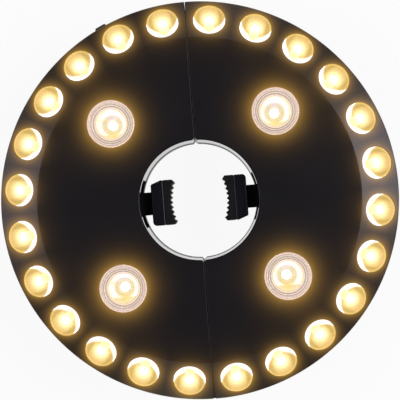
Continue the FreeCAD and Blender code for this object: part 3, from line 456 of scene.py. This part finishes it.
FINISHES = {
    "housing": moulded_black("housing_black", (0.0085, 0.0085, 0.0105), 0.30, glow=True, bore_gloss=0.06),
    "housing_back": moulded_black("back_black", (0.012, 0.012, 0.0145), 0.42),
    "reflector": cup_chrome(),
    "warm_led": bulb_epoxy(),
    "lens": lens_clear(),
    "jaw_plastic": moulded_black("jaw_black", (0.0075, 0.0075, 0.010), 0.26),
    "jaw_rubber": jaw_rubber(),
    "spring_steel": metal("spring_steel", (0.28, 0.28, 0.29), (0.62, 0.62, 0.63), 0.25),
    "screw_steel": metal("screw_steel", (0.35, 0.35, 0.36), (0.62, 0.62, 0.64), 0.28),
    "bail_wire": metal("bail_wire", (0.33, 0.33, 0.34), (0.66, 0.66, 0.67), 0.22),
    "contact_metal": metal("contact_metal", (0.42, 0.38, 0.3), (0.72, 0.68, 0.6), 0.25),
    "circuit_board": board_mask(),
    "cell_sleeve": cell_sleeve(),
    "cable_jacket": cable_jacket(),
    "button_rubber": moulded_black("button_black", (0.012, 0.012, 0.013), 0.45),
    "switch_plastic": moulded_black("switch_black", (0.015, 0.015, 0.015), 0.3),
}
SPOT_CHROME = spot_chrome()


def dress_frame():
    """Gives every CAD piece the finish of its slot."""
    for entry in frame["record"]["subparts"]:
        piece = frame["nodes"][entry["node"]]
        piece.data.materials.clear()
        piece.data.materials.append(FINISHES[entry["material_slot"]])
        if entry["node"].startswith("spot_reflector"):
            piece.data.materials[0] = SPOT_CHROME


# ---- mesh helpers

def new_object(name, mesh, finish=None):
    piece = bpy.data.objects.new(name, mesh)
    bpy.context.scene.collection.objects.link(piece)
    if finish is not None:
        mesh.materials.clear()
        mesh.materials.append(finish)
    return piece


def mesh_of(name, vertices, faces):
    mesh = bpy.data.meshes.new(name)
    mesh.from_pydata([tuple(vertex) for vertex in vertices], [], faces)
    tidy = bmesh.new()
    tidy.from_mesh(mesh)
    bmesh.ops.remove_doubles(tidy, verts=tidy.verts, dist=1e-7)
    bmesh.ops.recalc_face_normals(tidy, faces=tidy.faces)
    tidy.to_mesh(mesh)
    tidy.free()
    return mesh


def rounded(corners, steps=4):
    """An outline whose corners, each (radius, height, rounding), are turned into arcs."""
    outline = []
    count = len(corners)
    for k, (x, z, rounding) in enumerate(corners):
        corner = Vector((x, z))
        if rounding == 0:
            outline.append(corner)
            continue
        inward = (Vector(corners[k - 1][:2]) - corner).normalized()
        outward = (Vector(corners[(k + 1) % count][:2]) - corner).normalized()
        half = inward.angle(outward) / 2
        reach = rounding / math.tan(half)
        centre = corner + (inward + outward).normalized() * (rounding / math.sin(half))
        start, end = corner + inward * reach, corner + outward * reach
        for step in range(steps + 1):
            share = step / steps
            spoke = (start.lerp(end, share) - centre).normalized()
            outline.append(centre + spoke * rounding)
    return outline


def shrunk(outline, inset):
    """A closed outline moved inwards by the inset."""
    area = sum(a.x * b.y - b.x * a.y for a, b in zip(outline, outline[1:] + outline[:1]))
    turn = 1 if area > 0 else -1
    moved = []
    for before, point, after in zip(outline[-1:] + outline[:-1], outline, outline[1:] + outline[:1]):
        along = ((point - before).normalized() + (after - point).normalized()).normalized()
        moved.append(point + Vector((-along.y, along.x)) * inset * turn)
    return moved


def half_ring(name, outline, seam, bevel, steps=108):
    """A closed solid: an outline of (radius, height) points swept round the +X half."""
    rows = []
    for sign in (1, -1):
        ends = [(seam, shrunk(outline, bevel)), (seam + bevel * 0.35, shrunk(outline, bevel * 0.3)),
                (seam + bevel, outline)]
        level = [[Vector((x, sign * math.sqrt(point.x ** 2 - x ** 2), point.y)) for point in points]
                 for x, points in ends]
        rows.append(level)
    first_angle = math.pi / 2 - math.radians(3)
    middle = []
    for step in range(steps + 1):
        angle = first_angle * (1 - 2 * step / steps)
        middle.append([Vector((point.x * math.cos(angle), point.x * math.sin(angle), point.y))
                       for point in outline])
    rings = rows[0] + middle + rows[1][::-1]
    count = len(outline)
    vertices = [vertex for ring in rings for vertex in ring]
    faces = [[r * count + k, r * count + (k + 1) % count,
              (r + 1) * count + (k + 1) % count, (r + 1) * count + k]
             for r in range(len(rings) - 1) for k in range(count)]
    faces.append(list(range(count)))
    faces.append([(len(rings) - 1) * count + k for k in range(count)])
    return mesh_of(name, vertices, faces)


def spun(name, profile, steps=48):
    """A solid turned about Z from (radius, height) points; points at radius 0 close it."""
    vertices, rings = [], []
    for radius, height in profile:
        count = 1 if radius < 1e-9 else steps
        rings.append(range(len(vertices), len(vertices) + count))
        for k in range(count):
            angle = math.tau * k / steps
            vertices.append((radius * math.cos(angle), radius * math.sin(angle), height))
    faces = []
    for low, high in zip(rings, rings[1:] + (rings[:1] if profile[0][0] > 1e-9 else [])):
        for k in range(steps):
            following = (k + 1) % steps
            corners = [low[k % len(low)], low[following % len(low)],
                       high[following % len(high)], high[k % len(high)]]
            faces.append(list(dict.fromkeys(corners)))
    return mesh_of(name, vertices, [face for face in faces if len(face) > 2])


def extruded(name, outline, low, high):
    """A closed prism from (x, y) points between two heights."""
    count = len(outline)
    vertices = [(x, y, low) for x, y in outline] + [(x, y, high) for x, y in outline]
    faces = [[k, (k + 1) % count, count + (k + 1) % count, count + k] for k in range(count)]
    faces += [list(range(count)), list(range(count, 2 * count))]
    return mesh_of(name, vertices, faces)


def bar(name, near, far, half_width, low, high):
    """A closed block along X, as wide on either side of the axis, between two heights."""
    corners = [(near, -half_width), (far, -half_width), (far, half_width), (near, half_width)]
    return extruded(name, corners, low, high)


def joined(name, meshes):
    """Several meshes as one."""
    whole = bmesh.new()
    for mesh in meshes:
        whole.from_mesh(mesh)
    result = bpy.data.meshes.new(name)
    whole.to_mesh(result)
    whole.free()
    return result


def moved(mesh, matrix):
    copy = mesh.copy()
    copy.transform(matrix)
    return copy


def settled(piece, name):
    """The piece as a plain mesh with its modifiers applied."""
    bpy.context.view_layer.update()
    graph = bpy.context.evaluated_depsgraph_get()
    mesh = bpy.data.meshes.new_from_object(piece.evaluated_get(graph))
    mesh.name = name
    bpy.data.objects.remove(piece)
    return mesh


def cut_away(mesh, cutters):
    """The mesh less each cutter in turn."""
    for cutter in cutters:
        target, tool = new_object("cut_target", mesh), new_object("cut_tool", cutter)
        modifier = target.modifiers.new("cut", "BOOLEAN")
        modifier.operation = "DIFFERENCE"
        modifier.solver = "EXACT"
        modifier.object = tool
        mesh = settled(target, mesh.name)
        bpy.data.objects.remove(tool)
    return mesh


def smoothed(mesh, angle=32):
    """Smooth shading that keeps flat faces flat and hard edges hard."""
    piece = new_object("smooth_target", mesh)
    mesh.shade_smooth()
    mesh.set_sharp_from_angle(angle=math.radians(angle))
    modifier = piece.modifiers.new("weigh", "WEIGHTED_NORMAL")
    modifier.keep_sharp = True
    modifier.weight = 80
    return settled(piece, mesh.name)


def bevelled(mesh, width, segments=3):
    piece = new_object("bevel_target", mesh)
    modifier = piece.modifiers.new("bevel", "BEVEL")
    modifier.width = width
    modifier.segments = segments
    modifier.limit_method = "ANGLE"
    modifier.angle_limit = math.radians(28)
    return settled(piece, mesh.name)


def finish_piece(name, mesh, finish, body, nodes):
    """One visible piece that rides on its body and stands for its CAD nodes."""
    mesh.name = name
    piece = new_object(name, mesh, finish)
    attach(piece, body)
    if nodes:
        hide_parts(*nodes)
    return piece


# ---- repeating pieces, placed by geometry nodes

def row_tree(name, finish):
    """Copies of the piece, turned about Z one pitch after another."""
    tree = bpy.data.node_groups.new(name, "GeometryNodeTree")
    face = tree.interface
    face.new_socket("Piece", in_out="INPUT", socket_type="NodeSocketGeometry")
    face.new_socket("Count", in_out="INPUT", socket_type="NodeSocketInt")
    face.new_socket("Pitch", in_out="INPUT", socket_type="NodeSocketFloat")
    face.new_socket("First", in_out="INPUT", socket_type="NodeSocketFloat")
    face.new_socket("Row", in_out="OUTPUT", socket_type="NodeSocketGeometry")

    def node(kind, **settings):
        added = tree.nodes.new(kind)
        for setting, value in settings.items():
            setattr(added, setting, value)
        return added

    entry, leave = node("NodeGroupInput"), node("NodeGroupOutput")
    places = node("GeometryNodeMeshLine")
    places.inputs["Offset"].default_value = (0, 0, 0)
    number = node("GeometryNodeInputIndex")
    turn = node("ShaderNodeMath", operation="MULTIPLY_ADD")
    angles = node("ShaderNodeCombineXYZ")
    copies = node("GeometryNodeInstanceOnPoints")
    real = node("GeometryNodeRealizeInstances")
    paint = node("GeometryNodeSetMaterial")
    paint.inputs["Material"].default_value = finish
    for start, end in ((entry.outputs["Count"], places.inputs["Count"]),
                       (number.outputs[0], turn.inputs[0]), (entry.outputs["Pitch"], turn.inputs[1]),
                       (entry.outputs["First"], turn.inputs[2]), (turn.outputs[0], angles.inputs["Z"]),
                       (places.outputs[0], copies.inputs["Points"]),
                       (entry.outputs["Piece"], copies.inputs["Instance"]),
                       (angles.outputs[0], copies.inputs["Rotation"]),
                       (copies.outputs[0], real.inputs[0]), (real.outputs[0], paint.inputs["Geometry"]),
                       (paint.outputs[0], leave.inputs[0])):
        tree.links.new(start, end)
    return tree


def row_round_pole(name, mesh, finish, count, pitch, first):
    """One mesh of the row's copies, made by the tree and then settled."""
    piece = new_object(name, mesh)
    modifier = piece.modifiers.new("row", "NODES")
    tree = row_tree(name, finish)
    sockets = {item.name: item.identifier for item in tree.interface.items_tree}
    modifier.node_group = tree
    modifier[sockets["Count"]] = count
    modifier[sockets["Pitch"]] = pitch
    modifier[sockets["First"]] = first
    return settled(piece, name)


def first_lamp(side):
    return HALVES[side] - LAMP_PITCH * (LAMP_COUNT - 1) / 2


LAMP_SEAT = (Matrix.Translation((LAMP_RING, 0, LAMP_HEIGHT)) @ Matrix.Rotation(BAND_TILT, 4, "Y"))


def arc_points(centre, radius, start, end, steps):
    """(radius, height) points of an arc, its angles in degrees from the radius direction."""
    points = []
    for step in range(steps + 1):
        angle = math.radians(start + (end - start) * step / steps)
        points.append((centre[0] + radius * math.cos(angle), centre[1] + radius * math.sin(angle)))
    return points


# ---- the housing

def hole_cutter(wall, lip, depth):
    """A round cutter's outline, flared at the mouth so that the hole's lip comes out rounded."""
    flare = [(wall + lip - lip * math.cos(a), -lip + lip * math.sin(a))
             for a in (math.radians(18 * k) for k in range(6))]
    return [(0, -depth), (wall, -depth), *flare, (wall + lip * 1.6, lip), (0, lip)]


def cover_cavity():
    """The room inside the cover of the +X half."""
    low, top, inner_edge = PARTING_HEIGHT - MM, FACE_HEIGHT - WALL, RIM_RADIUS - WALL
    band_low = FACE_HEIGHT - (inner_edge - CREASE_RADIUS) * math.tan(BAND_TILT) - WALL / math.cos(BAND_TILT)
    corners = ((HOLE_RADIUS + WALL, low), (HOLE_RADIUS + WALL, top), (CREASE_RADIUS, top),
               (inner_edge, band_low), (inner_edge, low))
    return half_ring("cover_cavity", [Vector(corner) for corner in corners], SEAM_GAP + WALL, 0.1 * MM)


def lamp_holes():
    """Cutters for the rim lamps and the two spot lamps of the +X half."""
    lamp_hole = spun("lamp_hole", hole_cutter(CUP_RADIUS + 0.15 * MM, 0.5 * MM, 2.6 * WALL))
    spot_hole = spun("spot_hole", hole_cutter(LENS_RADIUS + 0.1 * MM, 0.35 * MM, 1.6 * WALL), 72)
    first = -LAMP_PITCH * (LAMP_COUNT - 1) / 2
    holes = [moved(lamp_hole, Matrix.Rotation(first + LAMP_PITCH * k, 4, "Z") @ LAMP_SEAT)
             for k in range(LAMP_COUNT)]
    holes += [moved(spot_hole, Matrix.Translation((SPOT_PLACE, sign * SPOT_PLACE, FACE_HEIGHT)))
              for sign in (1, -1)]
    return joined("holes", holes)


def seam_notches():
    """Cutters that take the corners off the seam beside the pole's hole."""
    far, near = HOLE_RADIUS + HOLE_NOTCH + MM, HOLE_RADIUS - MM
    return [extruded("notch", [(-MM, sign * far), (HOLE_NOTCH + MM, sign * near), (-MM, sign * near)],
                     0, FACE_HEIGHT + MM) for sign in (1, -1)]


def hinge_relief(hinge, hinge_sign):
    """A cutter that slopes the seam behind the pin, so that the halves can turn apart."""
    reach = RIM_RADIUS + 4 * MM
    spread = (reach - abs(HINGE_PLACE)) * math.tan(HINGE_RELIEF)
    corners = [(-MM, hinge), (0, hinge), (spread, hinge_sign * reach), (-MM, hinge_sign * reach)]
    return extruded("relief", corners, 0, FACE_HEIGHT + MM)


def jaw_pocket():
    """A cutter for the window that the jaw slides through."""
    return bar("pocket", 0.8 * HOLE_RADIUS, HOLE_RADIUS + WALL * 1.5, POCKET_HALF_WIDTH,
               PARTING_HEIGHT - MM, POCKET_TOP)


def knuckle_gaps(side, hinge):
    """Cutters that make room for the other half's knuckles."""
    other = KNUCKLES["left" if side == "right" else "right"]
    low, high = other[0] - KNUCKLE_GAP, other[1] + KNUCKLE_HEIGHT + KNUCKLE_GAP
    gaps = [(low, high)]
    if side == "right":
        own = KNUCKLES["right"]
        gaps = [(PARTING_HEIGHT - MM, other[0] + KNUCKLE_HEIGHT + KNUCKLE_GAP),
                (own[0] + KNUCKLE_HEIGHT, own[1]), (other[1] - KNUCKLE_GAP, high)]
    clear = KNUCKLE_RADIUS + KNUCKLE_CLEARANCE
    return joined("knuckle_gaps", [
        moved(spun("gap", [(0, bottom), (clear, bottom), (clear, top), (0, top)], 32),
              Matrix.Translation((0, hinge, 0))) for bottom, top in gaps])


def button_slot():
    """A cutter for the slot in the rim that the button stands in."""
    slot = bar("slot", RIM_RADIUS - 2 * WALL, RIM_RADIUS + WALL, SLOT_HALF_WIDTH, SLOT_LOW, SLOT_HIGH)
    return moved(slot, Matrix.Rotation(BUTTON_AZIMUTH - math.pi, 4, "Z"))


def knuckles(side, hinge):
    """The half's two hinge knuckles."""
    return [moved(bevelled(spun("knuckle", [(0, bottom), (KNUCKLE_RADIUS, bottom),
                                            (KNUCKLE_RADIUS, bottom + KNUCKLE_HEIGHT),
                                            (0, bottom + KNUCKLE_HEIGHT)], 40), 0.2 * MM),
                  Matrix.Translation((0, hinge, 0))) for bottom in KNUCKLES[side]]


def front_cover(side):
    """The face, band and rim wall of one half, with its holes and its hinge knuckles."""
    outline = rounded([(HOLE_RADIUS, PARTING_HEIGHT, 0.4 * MM), (HOLE_RADIUS, FACE_HEIGHT, 0.35 * MM),
                       (CREASE_RADIUS, FACE_HEIGHT, 2.5 * MM), (RIM_RADIUS, BAND_EDGE, 0.9 * MM),
                       (RIM_RADIUS, PARTING_HEIGHT, 0.4 * MM)])
    shell = half_ring("cover_shell", outline, SEAM_GAP, SEAM_BEVEL)
    hinge_sign = -1 if side == "right" else 1
    hinge = -HINGE_PLACE * hinge_sign
    cuts = [cover_cavity(), lamp_holes(), *seam_notches(), hinge_relief(hinge, hinge_sign), jaw_pocket(),
            knuckle_gaps(side, hinge)]
    if side == "left":
        cuts.append(button_slot())
    mesh = cut_away(shell, cuts)
    mesh = smoothed(joined("front_cover", [mesh, *knuckles(side, hinge)]))
    finish_piece(f"cover_{side}", moved(mesh, Matrix.Rotation(HALVES[side], 4, "Z")), FINISHES["housing"],
                 f"{side}_half", [f"front_cover_{side}"])


def merged_mesh(node, angle=32):
    """A CAD piece's mesh with its loose triangles merged and shaded smooth."""
    mesh = frame["nodes"][node].data.copy()
    weld = bmesh.new()
    weld.from_mesh(mesh)
    bmesh.ops.remove_doubles(weld, verts=weld.verts, dist=1e-6)
    weld.to_mesh(mesh)
    weld.free()
    return smoothed(mesh, angle)


def merged_copy(node, body, slot):
    finish_piece(f"{node}_smooth", merged_mesh(node), FINISHES[slot], body, [node])


def bending_copy(node, slot, first, second, start, end):
    """A merged, smooth copy of a CAD piece, standing in its place; the bodies first and second and the ends
    start and end are not used.
    """
    mesh = merged_mesh(node, 60)
    mesh.name = f"{node}_bending"
    piece = new_object(mesh.name, mesh, FINISHES[slot])
    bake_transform(piece)
    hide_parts(node)


def jaw_spring(side):
    """The jaw's spring, as a smooth copy in its place."""
    low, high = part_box(f"jaw_spring_{side}")
    ends = [(high.x, 0, 0), (low.x, 0, 0)] if side == "right" else [(low.x, 0, 0), (high.x, 0, 0)]
    bending_copy(f"jaw_spring_{side}", "spring_steel", f"{side}_half", f"jaw_{side}", *ends)


def hinge_links():
    """The hinge's coil and the cable reach from one half to the other."""
    for node, slot in (("hinge_spring", "spring_steel"), ("link_cable", "cable_jacket")):
        low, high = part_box(node)
        middle = (low + high) / 2
        start, end = Vector((low.x * 0.7, middle.y, middle.z)), Vector((high.x * 0.7, middle.y, middle.z))
        bending_copy(node, slot, "left_half", "right_half", start, end)


# ---- the lamps

def rim_cups(side):
    """Twelve polished bowls with a thin rolled lip."""
    bowl = []
    for step in range(15):
        share = step / 14
        widening = (CUP_RADIUS - CUP_MOUTH_INSET - CUP_FLOOR_RADIUS) * math.sin(share * math.pi / 2) ** 0.9
        radius = CUP_FLOOR_RADIUS + widening
        bowl.append((radius, -CUP_DEPTH * (1 - share)))
    lip = arc_points((CUP_RADIUS - 0.2 * MM, 0), 0.18 * MM, 180, 0, 5)
    outside = [(CUP_RADIUS - 0.05 * MM, -3.2 * MM), (CUP_FOOT_RADIUS, -CUP_DEPTH - CUP_FOOT),
               (CUP_FLOOR_RADIUS, -CUP_DEPTH - CUP_FOOT)]
    cup = spun("cup", bowl + lip + outside, 64)
    cup.transform(LAMP_SEAT)
    row = row_round_pole(f"rim_cups_{side}", cup, FINISHES["reflector"], LAMP_COUNT, LAMP_PITCH,
                         first_lamp(side))
    finish_piece(f"rim_cups_{side}", smoothed(row), FINISHES["reflector"], f"{side}_half",
                 [f"rim_reflector_{side}"])


def rim_bulbs(side):
    """Round headed bulbs, each with its rim flange."""
    dome = arc_points((0, -BULB_HEAD_DEPTH), BULB_RADIUS * 0.98, 90, 0, 9)
    bulb = spun("bulb", [(0, -BULB_FOOT_DEPTH), (BULB_LEG_RADIUS, -BULB_FOOT_DEPTH),
                         (BULB_LEG_RADIUS, -7.6 * MM), (BULB_FLANGE_RADIUS, -7.5 * MM),
                         (BULB_FLANGE_RADIUS, -6.6 * MM), (BULB_RADIUS * 0.98, -6.4 * MM),
                         *dome[::-1]], 32)
    bulb.transform(LAMP_SEAT)
    row = row_round_pole(f"rim_bulbs_{side}", bulb, FINISHES["warm_led"], LAMP_COUNT, LAMP_PITCH,
                         first_lamp(side))
    finish_piece(f"rim_bulbs_{side}", smoothed(row), FINISHES["warm_led"], f"{side}_half",
                 [f"rim_leds_{side}"])


def spot_lens(side, name, place):
    """Clear stepped lens: a rolled outer ring, two lower steps and a shallow domed window."""
    steps = [(LENS_RADIUS, LENS_STEP_ONE, 0), (LENS_STEP_ONE, LENS_STEP_TWO, -0.45 * MM),
             (LENS_STEP_TWO, WINDOW_RADIUS, -0.9 * MM)]
    profile = [(LENS_RADIUS, -LENS_SKIRT)]
    soft = 0.2 * MM
    for outer, inner, height in steps:
        profile += arc_points((outer - soft, height - soft), soft, 0, 90, 3)
        profile += arc_points((inner + soft, height - soft), soft, 90, 180, 3)
    window = WINDOW_RADIUS - 0.1 * MM
    profile += [(window, -1.35 * MM)]
    for step in range(1, 9):
        share = step / 8
        profile.append((window * (1 - share), (-1.35 + 0.75 * math.sin(share * math.pi / 2)) * MM))
    profile += [(0, -2.25 * MM), (LENS_STEP_TWO, -2.25 * MM), (LENS_STEP_TWO, -LENS_SKIRT)]
    lens = spun("lens", profile[::-1], 96)
    lens.transform(Matrix.Translation((*place, LENS_TOP)))
    finish_piece(f"lens_{name}_{side}", smoothed(lens), FINISHES["lens"], f"{side}_half",
                 [f"spot_lens_{name}_{side}"])


def spot_bowl(side, name, place):
    """The polished bowl under a lens."""
    depth, floor_radius = 10.6 * MM, 2.4 * MM
    inside = [(floor_radius + (WINDOW_RADIUS - floor_radius) * math.sin(share * math.pi / 2) ** 0.8,
               -depth * (1 - share)) for share in (k / 14 for k in range(15))]
    outside = [(WINDOW_RADIUS + 0.7 * MM, 0), (WINDOW_RADIUS + 0.4 * MM, -3 * MM), (3.7 * MM, -depth)]
    bowl = spun("bowl", inside + outside, 72)
    bowl.transform(Matrix.Translation((*place, LENS_TOP - 2.4 * MM)))
    finish_piece(f"spot_bowl_{name}_{side}", smoothed(bowl), SPOT_CHROME, f"{side}_half",
                 [f"spot_reflector_{name}_{side}"])


# ---- the jaws

def tooth_line():
    """(x, y) points of the hollow toothed face, from one end to the other."""
    half_span = TOOTH_PITCH * (TOOTH_COUNT - 1) / 2
    end = math.sqrt(TOOTH_ARC ** 2 - half_span ** 2)
    points = []
    for tooth in range(TOOTH_COUNT):
        tip = TOOTH_PITCH * (tooth - (TOOTH_COUNT - 1) / 2)
        points.append((PAD_LOW.x + math.sqrt(TOOTH_ARC ** 2 - tip ** 2) - end, tip))
        if tooth < TOOTH_COUNT - 1:
            valley = tip + TOOTH_PITCH / 2
            points.append((PAD_LOW.x + math.sqrt(TOOTH_ARC ** 2 - valley ** 2) - end + TOOTH_DEPTH, valley))
    return points


def jaw(side):
    turn = Matrix.Rotation(HALVES[side], 4, "Z")
    half_width = PAD_HIGH.y
    end_cut = PAD_LOW.x + PAD_END_CUT
    outline = [(PAD_HIGH.x, -half_width), (end_cut, -half_width), *tooth_line(), (end_cut, half_width),
               (PAD_HIGH.x, half_width)]
    pad = bevelled(extruded("pad", outline, PAD_LOW.z, PAD_HIGH.z), 0.22 * MM, 2)
    finish_piece(f"jaw_teeth_{side}", smoothed(moved(pad, turn), 40), FINISHES["jaw_rubber"], f"jaw_{side}",
                 [f"jaw_pad_{side}"])
    head = [(PAD_HIGH.x, -half_width), (JAW_HEAD_BACK - HEAD_SLOPE_DEPTH, -half_width),
            (JAW_HEAD_BACK, -half_width + HEAD_SLOPE_WIDTH), (JAW_HEAD_BACK, half_width - HEAD_CORNER),
            (JAW_HEAD_BACK - HEAD_CORNER_BOW, half_width - HEAD_CORNER_BOW),
            (JAW_HEAD_BACK - HEAD_CORNER, half_width), (PAD_HIGH.x, half_width)]
    head_mesh = bevelled(extruded("head", head, JAW_LOW.z, JAW_HIGH.z), 0.7 * MM, 4)
    middle = (JAW_LOW.z + JAW_HIGH.z) / 2
    stem = bevelled(bar("stem", JAW_HEAD_BACK - MM, JAW_HIGH.x, STEM_WIDTH / 2,
                        middle - STEM_HEIGHT / 2, middle + STEM_HEIGHT / 2), 0.3 * MM)
    collar = bevelled(bar("collar", JAW_HIGH.x - COLLAR_THICKNESS, JAW_HIGH.x, COLLAR_HALF_WIDTH,
                          middle - COLLAR_HALF_HEIGHT, middle + COLLAR_HALF_HEIGHT), 0.3 * MM)
    slider = smoothed(joined("slider", [head_mesh, stem, collar]), 40)
    finish_piece(f"jaw_head_{side}", moved(slider, turn), FINISHES["jaw_plastic"], f"jaw_{side}",
                 [f"jaw_slider_{side}"])


def mode_button():
    """The rubber push button, rounded at its corners."""
    low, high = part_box("mode_button")
    cap = bar("cap", BUTTON_BACK, BUTTON_FRONT, BUTTON_HALF_WIDTH, BUTTON_LOW, BUTTON_HIGH)
    collar = bar("collar", BUTTON_COLLAR_BACK, BUTTON_COLLAR_FRONT, BUTTON_COLLAR_HALF_WIDTH, low.z, high.z)
    mesh = smoothed(joined("button", [bevelled(cap, 0.8 * MM, 5), bevelled(collar, 0.3 * MM)]), 40)
    finish_piece("push_button", moved(mesh, Matrix.Rotation(BUTTON_AZIMUTH, 4, "Z")),
                 FINISHES["button_rubber"], "mode_button", ["mode_button"])


# ---- the picture: floor, light and camera

FLOOR_REACH = 4
FLOOR_LEVEL = -0.2 * MM
FLOOR_WHITENESS = 0.93


def pale_floor():
    """A plain pale floor that the camera and glossy surfaces see as near white."""
    finish = Finish("floor_pale", Roughness=0.9, Specular_IOR_Level=0.1)
    tree = finish.tree
    path = tree.nodes.new("ShaderNodeLightPath")
    seen = [Value(tree, path.outputs[name])
            for name in ("Is Camera Ray", "Is Glossy Ray", "Is Transmission Ray")]
    bright = tree.nodes.new("ShaderNodeEmission")
    bright.inputs["Color"].default_value = (1, 1, 1, 1)
    blend = tree.nodes.new("ShaderNodeMixShader")
    factor = (seen[0] + seen[1] + seen[2]) * FLOOR_WHITENESS
    tree.links.new(factor.socket, blend.inputs[0])
    tree.links.new(finish.shader.outputs[0], blend.inputs[1])
    tree.links.new(bright.outputs[0], blend.inputs[2])
    tree.links.new(blend.outputs[0], tree.nodes["Material Output"].inputs["Surface"])
    mottle = finish.noise(6, 2)
    finish.set(Base_Color=finish.mix(mottle, (0.86, 0.86, 0.86), (0.9, 0.9, 0.9)))
    corners = ((-1, -1), (1, -1), (1, 1), (-1, 1))
    mesh = mesh_of("floor", [(x * FLOOR_REACH, y * FLOOR_REACH, FLOOR_LEVEL) for x, y in corners],
                   [[0, 1, 2, 3]])
    floor = new_object("floor", mesh, finish.material)


def soft_lights():
    """Two wide panels at the sides, which the sloping rim mirrors, and weaker ones about."""
    panels = (("side_left", (-1.15, 0.15, 1.05), 0.8, 7, (0.92, 0.85, 1.0)),
              ("side_right", (1.15, 0.15, 1.05), 0.8, 14, (0.96, 0.90, 1.0)),
              ("back_fill", (0.3, 1.7, 0.55), 0.7, 6, (1.0, 0.98, 0.95)),
              ("front_fill", (-0.3, -1.7, 0.55), 0.7, 6, (1.0, 0.98, 0.95)))
    for name, place, width, power, colour in panels:
        lamp = bpy.data.lights.new(name, "AREA")
        lamp.shape = "SQUARE"
        lamp.size = width
        lamp.energy = power
        lamp.color = colour
        panel = bpy.data.objects.new(name, lamp)
        panel.location = place
        panel.rotation_euler = (-Vector(place)).to_track_quat("-Z", "Y").to_euler()
        bpy.context.scene.collection.objects.link(panel)


def plain_world():
    """White to the camera; a pale horizon and a dim sky overhead to everything else."""
    world = bpy.data.worlds.new("studio")
    bpy.context.scene.world = world
    world.use_nodes = True
    tree = world.node_tree
    place = tree.nodes.new("ShaderNodeTexCoord")
    parts = tree.nodes.new("ShaderNodeSeparateXYZ")
    tree.links.new(place.outputs["Generated"], parts.inputs[0])
    height = Value(tree, parts.outputs["Z"])
    path = tree.nodes.new("ShaderNodeLightPath")
    seen = Value(tree, path.outputs["Is Camera Ray"])
    level = (1 - height.above(0.1, 0.75)) * 0.32 + 0.03
    strength = level * (1 - seen) + seen
    background = tree.nodes["Background"]
    background.inputs["Color"].default_value = (1, 1, 1, 1)
    tree.links.new(strength.socket, background.inputs["Strength"])


IMAGE_WIDTH = 400
FOCAL_PIXELS = 1112
SENSOR_WIDTH = 36
CAMERA_DISTANCE = 550 * MM
CAMERA_ASIDE = Vector((8.9 * MM, -4.0 * MM, 0))
AIM_ASIDE = Vector((0.25 * MM, 0, 0))
OBJECT_ROLL = math.radians(4.4)


def camera():
    """Straight down on the lamps from 550 mm, a touch off the axis, the light rolled a little."""
    data = bpy.data.cameras.new("camera")
    data.sensor_width = SENSOR_WIDTH
    data.lens = SENSOR_WIDTH * FOCAL_PIXELS / IMAGE_WIDTH
    eye = bpy.data.objects.new("camera", data)
    bpy.context.scene.collection.objects.link(eye)
    bpy.context.scene.camera = eye
    roll = Matrix.Rotation(-OBJECT_ROLL, 4, "Z")
    target = roll @ (AIM_ASIDE + Vector((0, 0, BAND_EDGE)))
    place = roll @ (CAMERA_ASIDE + Vector((0, 0, FACE_HEIGHT + CAMERA_DISTANCE)))
    back = (place - target).normalized()
    right = (roll @ Vector((0, 1, 0))).cross(back).normalized()
    up = back.cross(right)
    eye.matrix_world = Matrix.Translation(place) @ Matrix((right, up, back)).transposed().to_4x4()


# ---- making it

dress_frame()
for side in HALVES:
    front_cover(side)
    rim_cups(side)
    rim_bulbs(side)
    half = 1 if side == "right" else -1
    for name, sign in (("upper", 1), ("lower", -1)):
        spot_lens(side, name, (half * SPOT_PLACE, sign * SPOT_PLACE))
        spot_bowl(side, name, (half * SPOT_PLACE, sign * SPOT_PLACE))
    jaw(side)
    merged_copy(f"back_cover_{side}", f"{side}_half", "housing_back")
    merged_copy(f"battery_door_{side}", f"battery_door_{side}", "housing_back")
    merged_copy(f"hanging_bail_{side}", f"hanging_bail_{side}", "bail_wire")
    merged_copy(f"housing_screws_{side}", f"{side}_half", "screw_steel")
    jaw_spring(side)
mode_button()
hinge_links()

pale_floor()
soft_lights()
plain_world()
camera()
bpy.context.scene.view_settings.view_transform = "Standard"
